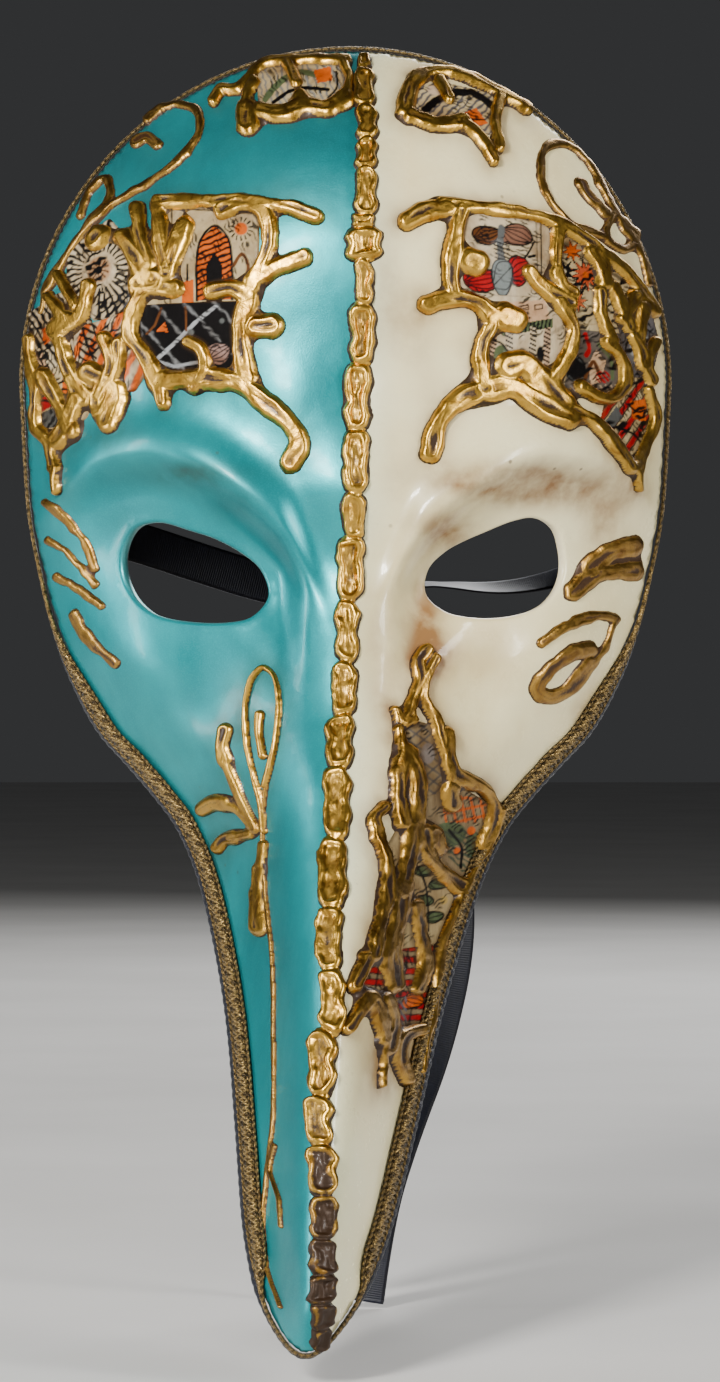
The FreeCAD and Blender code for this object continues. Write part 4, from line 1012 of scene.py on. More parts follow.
# brown patches of the ivory, and darker patches of the teal half that are partly painted shade
# (over the upper forehead and under the brow crest), each (x, z, half width, half height, strength)
IVORY_STAINS = [(46, 19, 16, 5, 1.25), (24, 8, 8, 5, 1), (19, -12, 5, 12, 1), (30, 19, 12, 4, 0.8),
                (63, 12, 6, 8, 0.5), (60, 8, 6, 8, 0.35), (13, 60, 5, 10, 0.35),
                (18, 50, 5, 12, 0.3), (12, 20, 4, 14, 0.28), (26, -22, 12, 5, 0.3),
                (8, -20, 4, 20, 0.45), (14, -110, 6, 10, 0.3), (60, -30, 4, 10, 0.3),
                (57, -36, 3, 4, 0.5), (24, -48, 6, 8, 0.4), (9, 66, 4, 22, 0.35)]
TEAL_SHADE_AND_STAINS = [(-36, 21, 11, 3, 0.9), (-56, 30, 14, 4, 0.4), (-30, 100, 40, 12, 0.22),
               (-12, 88, 14, 5, 0.18), (-52, 94, 14, 12, 0.2), (-40, -40, 16, 10, 0.2),
               (-24, -37, 8, 16, 0.3), (-26, 14, 6, 4, 0.3), (-31, -70, 5, 14, 0.4),
               (-50, 10, 8, 5, 0.18)]


def brown_wash_and_shade(points):
    """How much brown wash and painted shade lie at each point: near gold, in the hollows, round the
    eye holes.
    """
    lines = np.vstack([evenly(spline(line), 1.0) for width, line in GOLD_STROKES])
    near_gold, _ = near(points, lines)
    x, z = points[:, 0], points[:, 1]
    ivory = x > chain_x(z)
    stain_and_shade = np.where(ivory, 0.8, 0.42) * np.exp(-((near_gold - 1.0).clip(0) / 3.0) ** 1.3)
    for where, patches in ((ivory, IVORY_STAINS), (~ivory, TEAL_SHADE_AND_STAINS)):
        for at_x, at_z, wide, tall, strength in patches:
            stain_and_shade += np.where(where, strength * mound(x, z, (at_x, at_z), (wide, tall)), 0)
    return np.clip(stain_and_shade, 0, 1)


def build_shell():
    """The moulded shell: its outer and inner skins, joined round the rim and the eye holes."""
    holes = [eye_loop(hole) for hole in (LEFT_EYE, RIGHT_EYE)]
    loops = [EDGE] + [eye_loop(hole, outset) for hole in (LEFT_EYE, RIGHT_EYE)
                      for outset in (0.0, 0.2, 0.55, 1.0)]
    step = 1.15
    grid_x, grid_z = np.meshgrid(np.arange(-84, 84, step), np.arange(-178, 128, step))
    grid_x[1::2] += step / 2
    grid = np.column_stack([grid_x.ravel(), grid_z.ravel()])
    grid = grid[inside(grid, EDGE)]
    edge_gap, _ = near(grid, evenly(EDGE, 0.5, True))
    hole_gap, _ = near(grid, np.vstack([evenly(h, 0.4, True) for h in holes]))
    clear = (edge_gap > 0.7) & (hole_gap > 1.6)
    clear &= ~inside(grid, holes[0]) & ~inside(grid, holes[1])
    points, faces = triangles_in(loops, grid[clear], holes)
    edge_gap, _ = near(points, evenly(EDGE, 0.25, True))
    hole_gap, _ = near(points, np.vstack([evenly(h, 0.2, True) for h in holes]))
    gap = np.minimum(edge_gap, hole_gap)
    x, z = points[:, 0], points[:, 1]
    bend = LIP - np.sqrt(LIP ** 2 - (LIP - gap.clip(0, LIP)) ** 2)
    slight = 0.10 * wobble(points, 14.0, 3) + 0.05 * wobble(points, 5.0, 8) - 0.12
    outer = on_face(x, z, -bend + slight * smooth(gap / 3))
    lumps = 0.25 * wobble(points, 9.0, 21) + 0.10 * wobble(points, 3.5, 5)
    inner = on_face(x, z, 0.7 * bend - SHELL_THICK + 0.1 + lumps * smooth(gap / 2))
    count = len(points)
    joins = [(b, a, count + a, count + b) for a, b in rim_edges(faces)]
    slots = [0] * len(faces) + [1] * len(faces) + [0] * len(joins)
    raw = smooth(1 - hole_gap / 0.5) * np.where(x > 0, 0.6, 0.1)
    values = {"across": x - chain_x(z), "stain_and_shade": brown_wash_and_shade(points), "raw": raw}
    piece = new_mesh("mask_body", np.vstack([outer, inner]),
                     [*faces, *(count + faces[:, [0, 2, 1]]), *joins], [LACQUER, INNER],
                     {key: np.tile(value, 2) for key, value in values.items()}, slots)
    hand_over(piece, "mask_shell")


build_shell()


# ---------------------------------------------------------------- stucco
def gild(name, node_name, drawn, swell, high, material, step=0.32, **look):
    """Piped gold over one CAD node, its strokes swollen to the fullness of the real stucco."""
    drawn = [(width * swell, points) for width, points in drawn]
    low, high_corner, height_of = piped(drawn, high, sum(map(ord, name)) % 97, **look)
    piece = relief_mesh(name, low, high_corner, step, height_of, material)
    hand_over(piece, node_name)


# the drips are in the visual model only
for side, brow, crown in (("left", LEFT_BROW_FRAME + LEFT_BROW_DRIPS, LEFT_CROWN_FRAME),
                          ("right", RIGHT_BROW_FRAME + RIGHT_BROW_DRIPS, RIGHT_CROWN_FRAME)):
    for place, drawn in (("brow", brow), ("crown", crown)):
        gild(f"{place}_gilding_{side}", f"{side}_{place}_frame", drawn, 1.42, GOLD_HIGH, GILT,
             rimmed=0.33, wrinkle=0.14, shake=0.32)
for side, drawn in (("left", LEFT_TEMPLE_SCROLL), ("right", RIGHT_TEMPLE_SCROLL)):
    gild(f"temple_scroll_{side}", f"{side}_temple_scroll", drawn, 1.25, STROKE_HIGH * 0.8, BRUSHED,
         wrinkle=0.12)
for side, drawn, swell, wrinkle in (("left", LEFT_CHEEK_STROKES, 1.3, 0.2),
                                    ("right", RIGHT_CHEEK_STROKES, 1.55, 0.3)):
    gild(f"cheek_strokes_{side}", f"{side}_cheek_strokes", drawn, swell, STROKE_HIGH * 0.6, BRUSHED,
         wrinkle=wrinkle)
gild("nose_flourish", "left_nose_flourish", LEFT_NOSE_FLOURISH, 1.2, STROKE_HIGH, GILT, 0.26,
     rimmed=0.5, wrinkle=0.08, shake=0.1)
gild("beak_stem", "left_beak_stem", LEFT_BEAK_STEM, 1.0, STROKE_HIGH * 0.7, BRUSHED, 0.22,
     wrinkle=0.05, shake=0.12)
gild("beak_gilding", "right_beak_frame", RIGHT_BEAK_FRAME, 1.15, GOLD_HIGH, AGED, wrinkle=0.22)


def link_heights(links, seed):
    """Chain links: two piped rims round a rough groove, run together with a blob at each joint."""
    outlines, joints = [], []
    for number, (x, top, bottom, width) in enumerate(links):
        tall, w = top - bottom, width / 2
        joints += [(x, top, width), (x, bottom, width)]
        top, bottom = top + 0.35, bottom - 0.35
        lean = 0.3 * math.sin(2.3 * number + 1)
        half = [(0, top), (0.66 * w, top - 0.04 * tall), (w, top - 0.24 * tall),
                (0.86 * w, bottom + 0.5 * tall), (0.97 * w, bottom + 0.22 * tall),
                (0.62 * w, bottom + 0.04 * tall), (0, bottom)]
        ring = [(x + dx, z + lean * dx / w) for dx, z in half]
        ring += [(x - dx, z - lean * dx / w) for dx, z in half[-2:0:-1]]
        outlines.append(evenly(spline(ring, closed=True), 0.2, closed=True))
    low = np.min([o.min(0) for o in outlines], axis=0) - 1.4
    high_corner = np.max([o.max(0) for o in outlines], axis=0) + 1.4

    def height_of(points):
        warp = np.column_stack([wobble(points, 3.4, seed), wobble(points, 3.4, seed + 9)])
        fine_warp = np.column_stack([wobble(points, 1.3, seed + 2), wobble(points, 1.3, seed + 6)])
        at = points + 0.75 * warp + 0.16 * fine_warp
        total = np.full(len(points), -1.0)
        hollow = np.zeros(len(points))
        edge = np.ones(len(points))
        streak = wobble(points * (1, 0.3), 0.75, seed + 5)
        lumps = wobble(points, 2.2, seed + 12)
        for number, outline in enumerate(outlines):
            box = (at >= outline.min(0) - 1.2).all(1) & (at <= outline.max(0) + 1.2).all(1)
            here = np.flatnonzero(box)
            gap, _ = near(at[here], outline)
            depth = gap * np.where(inside(at[here], outline), 1.0, -1.0)
            width = np.ptp(outline[:, 0])
            level = (at[here, 1] - outline[:, 1].min()) / np.ptp(outline[:, 1])
            crest = 0.19 * width
            rim = np.clip(1 - np.abs(depth / crest - 1) ** 2.4, 0, 1) ** 0.5
            inner = smooth((depth - crest) / (0.15 * width)) * smooth((0.95 - level) / 0.1)
            inner = inner * smooth(level / 0.12) * (0.85 + 0.15 * math.sin(2.6 * number))
            floor = 0.52 + 0.22 * streak[here]
            h = LINK_HIGH * np.where(depth < crest, rim, 1 - inner * (1 - floor))
            h = h * (0.90 + 0.06 * np.sin(4.1 * number + 3 * level) + 0.07 * lumps[here])
            h = np.where(depth < 0.0, -1.0, h)
            skirt = 0.14 * np.clip((depth + 0.28) / 0.14, -3, 1)
            h = np.minimum(np.maximum(h, skirt), LINK_HIGH * 1.03)
            better = h > total[here]
            total[here] = np.where(better, h, total[here])
            hollow[here] = np.where(better, inner * (0.22 - 0.12 * streak[here]), hollow[here])
            # edge marks each link's outline, where the gold is darkened as painted shade
            edge[here] = np.where(better, smooth(1 - depth / 0.42), edge[here])
        for x, z, width in joints:
            gap = np.hypot((at[:, 0] - x) / (0.27 * width), (at[:, 1] - z) / 0.9)
            blob = np.where(gap < 1, LINK_HIGH * 0.72 * np.sqrt(np.clip(1 - gap ** 2, 0, 1)), -1)
            better = blob > total
            edge = np.where(better, smooth(1 - blob / 0.5), edge)
            hollow = np.where(better, 0.06, hollow)
            total = np.where(better, blob, total)
        # the links turn darker brown towards the tip of the beak
        darkening = smooth((-112 - points[:, 1]) / 45)
        hollow = hollow * (1 + darkening) + 0.55 * darkening * (0.75 + 0.5 * streak)
        tall = np.clip(total / LINK_HIGH, 0, 1)
        return total, {"edge": edge, "hollow": hollow, "tall": tall}

    return low, high_corner, height_of


nose_end = FOREHEAD_LINKS + NOSE_LINKS
for name, links in (("forehead_chain", CHAIN[:FOREHEAD_LINKS]),
                    ("nose_chain", CHAIN[FOREHEAD_LINKS:nose_end]),
                    ("beak_chain", CHAIN[nose_end:])):
    low, high_corner, height_of = link_heights(links, 11.0)
    piece = relief_mesh("gilded_" + name, low, high_corner, 0.28, height_of, GILT)
    hand_over(piece, name)


# ---------------------------------------------------------------- prints
CREAM = (0.52, 0.40, 0.21)
PALE = (0.60, 0.49, 0.31)
ORANGE = (0.66, 0.115, 0.006)
RED = (0.40, 0.004, 0.008)
DUSK = (0.26, 0.19, 0.10)
GREY = (0.10, 0.105, 0.10)
BLACK = (0.004, 0.003, 0.003)
GREEN = (0.10, 0.135, 0.06)
BROWN = (0.12, 0.04, 0.010)


class Print:
    """A scrap of paper that inks are laid on, in millimetres of the X-Z plane."""

    def __init__(self, points, paper):
        self.at = points
        self.colour = np.tile(np.array(paper, float), (len(points), 1))
        self.rough = wobble(points, 1.6, 31)

    def ink(self, cover, colour):
        """Lays a colour where cover is 1. The methods below each give a cover, from 0 to 1."""
        cover = np.clip(cover, 0, 1)[:, None]
        self.colour = self.colour * (1 - cover) + np.array(colour) * cover

    def spot(self, x, z, wide, tall):
        gap = np.hypot((self.at[:, 0] - x) / wide, (self.at[:, 1] - z) / tall)
        return np.clip((1 - gap) * min(wide, tall) / 0.25 + 0.5, 0, 1)

    def shape(self, *corners):
        return inside(self.at, np.reshape(corners, (-1, 2)).astype(float)).astype(float)

    def line(self, width, *points):
        gap, _ = near(self.at, evenly(np.reshape(points, (-1, 2)), 0.15))
        return np.clip((width / 2 * (1 + 0.35 * self.rough) - gap) / 0.2 + 0.5, 0, 1)

    def curve(self, width, *points):
        return self.line(width, spline(np.reshape(points, (-1, 2))))

    def stripes(self, turns, share):
        """Bands that cover a share of every whole turn."""
        return np.clip((share - np.abs(turns % 1 - 0.5) * 2) / 0.3 + 0.5, 0, 1)

    def hatch(self, angle, pitch, share=0.35, waver=0.0):
        turn = math.radians(angle)
        across = self.at[:, 0] * math.cos(turn) + self.at[:, 1] * math.sin(turn)
        return self.stripes((across + waver * self.rough) / pitch, share)

    def rays(self, x, z, count, share):
        angle = np.arctan2(self.at[:, 1] - z, self.at[:, 0] - x)
        return self.stripes(angle / (2 * math.pi) * count + 0.25 * self.rough, share)

    def star(self, x, z, size, points):
        angle = 0.2 + math.pi * np.arange(2 * points) / points
        reach = size * np.tile([1, 0.42], points)
        return self.shape(np.column_stack([x + reach * np.cos(angle), z + reach * np.sin(angle)]))

    def sail(self, x, z, wide, tall, turn, colour, count=5):
        """A ribbed fan or sail: a leaf outline with curved ribs."""
        def put_at(u, v):
            return (x + wide * (u * math.cos(turn) - v * math.sin(turn)),
                    z + tall * (u * math.sin(turn) + v * math.cos(turn)))

        outline = [put_at(math.cos(a), math.sin(a) * (1 - 0.25 * math.cos(a)))
                   for a in np.linspace(0, 2 * math.pi, 24, endpoint=False)]
        body = self.shape(outline)
        self.ink(body, colour)
        for v in np.linspace(-0.8, 0.8, count):
            rib = self.curve(0.3, put_at(-0.9, v * 0.3), put_at(0, v), put_at(0.9, v * 0.5))
            self.ink(body * rib, BLACK)
        self.ink(self.line(0.4, outline + outline[:1]), BLACK)


PRINTS = {}


def on_paper(colour):
    """Keeps a drawing under its own name, which is its CAD node's, with its paper's colour."""
    def keep(draw):
        PRINTS[draw.__name__] = colour, draw
        return draw
    return keep


@on_paper(CREAM)
def left_brow_arch_print(p):
    p.ink(p.hatch(85, 7.5, 0.5, 2) * 0.25, (0.50, 0.40, 0.26))
    p.ink(p.line(0.35, -40.5, 64, -40.8, 84.5, -21.5, 82.2), BLACK)
    arch = (-34.5, 62, -34.6, 72, -33.5, 76.8, -30.5, 79.6, -27.4, 76.8, -26.4, 72, -26.2, 62)
    body = p.shape(arch)
    p.ink(body, ORANGE)
    p.ink(body * p.hatch(110, 1.35, 0.42, 0.35), BLACK)
    door = p.shape(-32.3, 61, -32.3, 70, -30.4, 73.4, -28.6, 70, -28.5, 61)
    p.ink(door, BLACK)
    p.ink(p.curve(0.6, arch), BLACK)
    p.ink(p.shape(-38, 61, -38.2, 66.4, -35.4, 67, -35.2, 61), ORANGE)
    p.ink(p.line(0.5, -36.8, 66.8, -36.9, 70.6), BLACK)
    p.ink(p.curve(0.9, -25.9, 70, -24, 72.5, -22.6, 70.4, -22.8, 66.4), BROWN)
    p.ink(p.spot(-23.4, 66.2, 1.1, 0.9), BLACK)
    p.ink(p.spot(-24.2, 78.6, 1.5, 1.5), ORANGE)
    halo = p.spot(-24.2, 78.6, 2.9, 2.9) - p.spot(-24.2, 78.6, 1.7, 1.7)
    p.ink(p.rays(-24.2, 78.6, 14, 0.35) * halo, BLACK)


@on_paper(BLACK)
def left_brow_night_print(p):
    p.ink(p.hatch(42, 5.3, 0.06, 0.8) * 0.8, (0.34, 0.34, 0.34))
    p.ink(p.curve(0.9, -46, 47, -40, 52, -34, 57.5, -30, 60.5), (0.36, 0.37, 0.38))
    p.ink(p.line(0.8, -47.5, 49.2, -40, 46.7, -33, 47.6), (0.30, 0.31, 0.32))
    p.ink(p.shape(-44.4, 55.2, -42.2, 57.2, -41.4, 54.8), ORANGE)
    p.ink(p.line(0.55, -43, 60.5, -44.6, 56.5, -46.6, 54.5), BROWN)
    p.ink(p.spot(-36, 54.5, 0.8, 0.8) + p.spot(-28.6, 57, 0.6, 0.6), GREY)
    p.ink(p.line(0.5, -37.2, 60.5, -37, 55), BROWN)
    p.sail(-29.3, 49.5, 2.9, 2.6, 0.6, (0.42, 0.27, 0.23))


@on_paper(PALE)
def left_brow_sunburst_print(p):
    p.ink(p.rays(-58.5, 71, 30, 0.42), BLACK)
    p.ink(p.spot(-58.5, 71, 4.4, 4.6), PALE)
    p.ink(p.spot(-58.5, 71, 3.1, 3.2), (0.56, 0.36, 0.20))
    p.ink(p.rays(-58.5, 71, 10, 0.3) * p.spot(-58.5, 71, 2.6, 2.7), BROWN)
    p.ink(p.spot(-58.5, 71, 0.9, 0.9), BLACK)
    p.ink(p.hatch(130, 1.5, 0.45, 0.7) * p.shape(-60, 59, -50, 59, -48, 66, -57, 64), BLACK)


@on_paper(PALE)
def left_brow_striped_print(p):
    p.ink(p.hatch(-25, 3.4, 0.5, 0.3), ORANGE)
    p.ink(p.hatch(60, 1.6, 0.4, 0.3) * p.shape(-64, 40, -58.5, 40, -59, 60, -63, 60), BLACK)
    p.ink(p.curve(0.6, -62.5, 57, -60, 50, -56.6, 44), BLACK)
    p.ink(p.curve(0.5, -60, 58, -58, 52, -55, 46), BLACK)


@on_paper(PALE)
def left_brow_hatched_print(p):
    p.ink(p.hatch(35, 1.5, 0.5, 0.6), BLACK)
    p.ink(p.shape(-73, 58, -70.4, 59, -70.4, 55, -72.6, 54), ORANGE)
    p.ink(p.shape(-76, 51, -73, 53, -71.5, 48, -73.5, 46), (0.52, 0.32, 0.18))
    p.ink(p.curve(0.5, -75.6, 53, -73, 50, -72.4, 46), BLACK)


@on_paper(CREAM)
def left_brow_red_print(p):
    p.ink(p.shape(-74, 45, -70, 47, -68.5, 40, -73, 38), RED)
    p.ink(p.shape(-67.5, 45.5, -61, 41, -62, 39, -67.6, 42), ORANGE)
    p.ink(p.hatch(20, 1.3, 0.4, 0.3) * p.shape(-68, 42, -61, 39, -66, 33, -70, 36), BLACK)
    p.ink(p.shape(-73.6, 37.6, -69, 39, -67, 34, -73, 34), GREY)
    p.ink(p.curve(0.6, -74, 41, -70.5, 40, -68, 36), BLACK)


@on_paper(PALE)
def right_brow_arch_print(p):
    p.ink(p.line(0.35, 46, 82, 46, 68) + p.line(0.25, 44.9, 82, 45, 68), BLACK)
    p.sail(33.2, 77.2, 3.4, 2.2, 0.5, BROWN)
    p.sail(40.2, 77.4, 4.0, 2.6, -0.6, (0.22, 0.10, 0.06))
    p.ink(p.curve(1.6, 36.6, 79, 36.2, 74, 37, 70.5), GREY)
    p.ink(p.hatch(70, 0.9, 0.4) * p.shape(34.6, 76, 38.4, 76, 38.4, 70.5, 35, 70.5), BLACK)
    p.sail(32.2, 66.6, 4.6, 2.8, 0.35, RED)
    p.sail(40.6, 69.2, 2.6, 3.6, 0.5, RED)
    p.sail(36.8, 67.6, 2.5, 4.4, 0.55, (0.16, 0.19, 0.18), 3)
    p.ink(p.curve(0.5, 42, 72, 43.6, 74.6, 44.2, 76) + p.curve(0.6, 43, 72.4, 44.4, 72.8), BLACK)


@on_paper(PALE)
def right_brow_table_print(p):
    top = p.shape(33.6, 61, 47, 62.5, 48, 58, 35, 55.5)
    p.ink(top, (0.66, 0.42, 0.24))
    for x, z in ((38.6, 59.5), (42, 60.2), (45.4, 60.6)):
        p.ink(p.line(0.32, x - 1, z - 0.6, x + 0.9, z - 0.2, x + 0.8, z + 0.8, x - 1, z + 0.5,
                     x - 1, z - 0.6), BLACK)
    fringe = p.shape(36.2, 55.6, 48.6, 58.2, 48.8, 56, 36.6, 53.4)
    p.ink(fringe, GREEN)
    p.ink(fringe * p.hatch(-10, 0.9, 0.45), BLACK)
    for x in (34.6, 38.4, 44.0, 47.4):
        leg = p.shape(x - 0.8, 56, x + 0.9, 56, x + 0.4, 44, x - 1.2, 44)
        p.ink(leg, (0.50, 0.33, 0.20) if x in (34.6, 47.4) else PALE)
        p.ink(leg * p.hatch(65, 1.0, 0.45), BLACK)
    p.ink(p.spot(36.4, 49, 1.7, 2.4), GREEN)
    p.ink(p.spot(41.4, 48, 1.3, 2.9) + p.spot(45.7, 49.5, 0.9, 2), BLACK)
    p.ink(p.curve(0.9, 34, 47, 38, 44.6, 43, 45, 47, 46), (0.10, 0.12, 0.11))
    p.ink(p.curve(0.5, 34.2, 52.5, 36.4, 51.8, 38, 50), BLACK)


@on_paper(CREAM)
def right_brow_star_print(p):
    for x, z, size, colour, points in (
            (53.5, 74.6, 2.5, ORANGE, 8), (56.8, 69.2, 3.9, (0.60, 0.10, 0.03), 12),
            (51.6, 69.6, 2.7, BLACK, 8), (62.2, 68.2, 2.1, ORANGE, 8),
            (54.6, 62.6, 2.5, (0.62, 0.14, 0.04), 8), (60.6, 61.8, 1.7, ORANGE, 8),
            (59.8, 73.4, 1.5, ORANGE, 8)):
        p.ink(p.star(x, z, size * 1.22, points), BLACK)
        p.ink(p.star(x, z, size, points), colour)
        p.ink(p.spot(x, z, size * 0.2, size * 0.2), ORANGE if colour != BLACK else PALE)
    p.ink(p.hatch(60, 1.7, 0.4, 0.5) * p.shape(60.5, 60.5, 66, 60.5, 66, 72, 62.5, 70) * 0.7, BLACK)


@on_paper(CREAM)
def right_brow_flask_print(p):
    p.ink(p.shape(51, 41, 66, 41, 66, 56, 55, 56) * 0.85, (0.05, 0.045, 0.055))
    p.ink(p.curve(1.1, 56.6, 54.8, 57.6, 51.6, 56.9, 50), RED)
    p.ink(p.spot(54.2, 46.6, 2.6, 3.2), BLACK)
    p.ink(p.curve(0.35, 52.4, 48.4, 54.2, 49.4, 56, 48)
          + p.curve(0.3, 52.6, 44.8, 54.2, 43.8, 56, 44.6), GREY)
    p.ink(p.shape(57.4, 48, 59.4, 51.6, 61.8, 49, 60.4, 44, 58, 43), (0.66, 0.44, 0.26))
    p.ink(p.curve(0.9, 56.4, 44, 58.6, 48.6, 60.6, 44.4), BROWN)
    p.ink(p.spot(61, 45.2, 1.9, 1.5) * p.hatch(45, 1.0, 0.6), RED)
    p.ink(p.curve(0.9, 60, 52.8, 63, 49.5, 63.4, 45), GREEN)
    p.ink(p.hatch(30, 1.2, 0.35) * p.shape(59, 43, 66, 44, 65, 41, 58, 41), (0.45, 0.33, 0.22))


@on_paper((0.12, 0.11, 0.11))
def right_brow_flower_print(p):
    for angle in 0.3 + np.arange(6) * math.pi / 3:
        cos, sin = math.cos(angle), math.sin(angle)
        p.ink(p.spot(70.6 + 1.7 * cos, 53.4 + 2.9 * sin, 1.2, 1.7), (0.26, 0.26, 0.25))
        p.ink(p.curve(0.35, 70.6, 53.4, 70.6 + 2.2 * cos, 53.4 + 3.8 * sin), BLACK)
    p.ink(p.spot(70.6, 53.4, 0.8, 1.1), BLACK)
    p.ink(p.hatch(60, 1.4, 0.35, 0.4) * p.shape(66, 58, 72, 63, 74, 57, 68, 56), BLACK)


@on_paper(CREAM)
def right_brow_red_print(p):
    p.ink(p.hatch(-35, 3.1, 0.45, 0.2), RED)
    p.ink(p.hatch(-35, 1.55, 0.2, 0.2), BLACK)
    p.ink(p.shape(68, 40, 72.6, 41, 72, 35, 68.6, 36), ORANGE)
    p.ink(p.curve(0.5, 67.6, 39, 70, 37.6, 72.4, 38.4)
          + p.curve(0.7, 66, 33, 69, 32, 71, 30), BLACK)
    p.ink(p.shape(61.5, 34.4, 64.5, 38.6, 66, 36, 63.4, 33), GREY)


@on_paper(CREAM)
def left_crown_print(p):
    p.ink(p.hatch(20, 1.6, 0.35, 0.7), (0.20, 0.20, 0.19))
    p.ink(p.curve(1.6, -19, 111, -15, 116, -11, 118, -6, 117), GREEN)
    p.ink(p.curve(1.0, -17, 110, -13, 113, -9, 113.6, -4, 113), BLACK)
    p.ink(p.shape(-7.5, 118.5, -3.5, 119.5, -3, 115.5, -6.5, 115), ORANGE)
    p.ink(p.spot(-12, 115.4, 1.4, 1.2), (0.50, 0.34, 0.22))
    p.ink(p.curve(0.5, -4, 110.8, -2, 113.4, -2, 118), BLACK)


@on_paper(CREAM)
def right_crown_print(p):
    p.ink(p.hatch(-40, 1.5, 0.4, 0.6), (0.10, 0.09, 0.09))
    p.ink(p.curve(2.0, 19, 108, 24, 112, 30, 113, 35, 110), BLACK)
    p.ink(p.shape(26.5, 106.5, 31, 109, 33.8, 105, 30, 103.8), ORANGE)
    p.ink(p.curve(0.4, 27, 107, 30, 106, 33, 106), BLACK)
    p.ink(p.spot(21.6, 113.2, 2.2, 1.4), (0.55, 0.40, 0.26))


@on_paper(DUSK)
def beak_diamond_print(p):
    p.ink(p.hatch(55, 2.2, 0.2) + p.hatch(-50, 2.2, 0.2), (0.10, 0.09, 0.08))
    p.ink(p.spot(19, -44, 1.6, 2.4), (0.25, 0.22, 0.2))


@on_paper(DUSK)
def beak_lattice_print(p):
    p.ink(p.spot(24, -63, 4.2, 3) + p.spot(31, -66, 3, 3), GREEN)
    bars = p.hatch(12, 2.3, 0.22) + p.hatch(100, 2.6, 0.22)
    p.ink(bars * p.shape(22, -53, 33, -55, 34, -61, 23, -60), ORANGE)
    p.ink(p.hatch(12, 1.15, 0.12) * p.shape(22, -53, 33, -55, 34, -61, 23, -60), BLACK)
    p.ink(p.hatch(60, 1.2, 0.4, 0.7) * p.shape(20, -62, 33, -62, 28, -73, 22, -66),
          (0.06, 0.08, 0.05))
    p.ink(p.curve(0.7, 24, -62, 27, -66, 27, -71), BLACK)
    p.ink(p.spot(29.5, -62.4, 1.0, 1.0) + p.spot(26, -67, 0.8, 0.8), ORANGE)


@on_paper((0.40, 0.30, 0.15))
def beak_foliage_print(p):
    for x, z, turn in ((18, -71, 0.8), (21.5, -74.5, -0.5), (18, -78, 1.6), (20.5, -82, 0.3)):
        p.sail(x, z, 2.3, 1.3, turn, GREEN, 3)
    p.ink(p.curve(0.5, 16, -69, 18.5, -75, 19, -85), BLACK)
    p.ink(p.spot(22.8, -78.4, 1.0, 1.0), (0.5, 0.34, 0.1))


@on_paper(DUSK)
def beak_brick_print(p):
    p.ink(p.hatch(80, 2.6, 0.55), RED)
    p.ink(p.hatch(80, 1.3, 0.18, 0.2) + p.hatch(-10, 3.1, 0.12), BLACK)
    p.sail(11.5, -93, 2.4, 1.8, 0.4, (0.44, 0.34, 0.30), 4)
    p.sail(15.5, -100.5, 2.6, 1.9, -0.5, ORANGE, 4)
    p.ink(p.hatch(35, 1.2, 0.4, 0.4) * p.shape(9, -101, 14, -99, 14, -107, 10, -106),
          (0.12, 0.12, 0.14))


def print_piece(name, corners, strokes_over):
    """One printed scrap, shaded beside the gold strokes over it."""
    corners = np.array(corners, float)
    outline = evenly(corners, 0.15, closed=True)
    lines = [(width, evenly(spline(points), 0.4)) for width, points in strokes_over]
    paper, draw = PRINTS[name]
    layer = len(name) % 4                  # scraps that lap over each other differ in this

    def height_of(points):
        gap, _ = near(points, outline)
        gap = np.where(inside(points, corners), gap, -gap) + LAP
        lift = 0.10 * wobble(points, 4.0, 51) + 0.05 * wobble(points, 1.4, 17)
        top = CARD_THICK + np.minimum(lift, 0.02) * smooth(gap / 0.6)
        height = np.where(gap > 0, np.where(gap < 0.25, CARD_THICK * (0.75 + gap), top), gap * 1.6)
        p = Print(points, paper)
        draw(p)
        worked = np.clip(wobble(points, 3.1, 77) * 5 - 0.2, 0, 1)
        p.ink(p.hatch(24 + 47 * layer, 1.05, 0.42, 0.8) * worked * 0.9, BLACK)
        outer = np.clip((np.abs(points[:, 0]) - 46) / 8, 0, 1) * (points[:, 1] > 0)
        outer = outer * np.clip(wobble(points, 4.4, 91) * 5 + 0.3, 0, 1)
        p.ink(p.hatch(118, 1.9, 0.5, 1.1) * outer, BLACK)
        # painted shade along the scrap's edge and beside the gold strokes over it
        shade = 0.6 * smooth(1 - gap / 0.7)
        for width, line in lines:
            off, _ = near(points, line)
            shade = np.maximum(shade, smooth(1 - (off - width / 2) / 1.3))
        return height, {"ink": p.colour, "stain_and_shade": shade * 0.8}

    piece = relief_mesh("scrap_" + name, corners.min(0) - 1.2, corners.max(0) + 1.2, 0.25,
                        height_of, PRINT, 0.015 * layer)
    hand_over(piece, name)


GOLD_OVER = {"left_brow": LEFT_BROW_FRAME, "right_brow": RIGHT_BROW_FRAME, "beak": RIGHT_BEAK_FRAME,
             "left_crown": LEFT_CROWN_FRAME, "right_crown": RIGHT_CROWN_FRAME}
for name, corners in CARDS.items():
    print_piece(name, corners, next(GOLD_OVER[key] for key in GOLD_OVER if name.startswith(key)))


# ---------------------------------------------------------------- rim trim
def edge_on(z, late=0.0):
    """0 where the braid lies on the face, 1 where it lies on the side, up high and at the tip."""
    above = smooth((z + 35 - 23 * late) / (25 + 5 * late))
    return np.maximum(above, smooth((-152 - 3 * late - z) / 16))


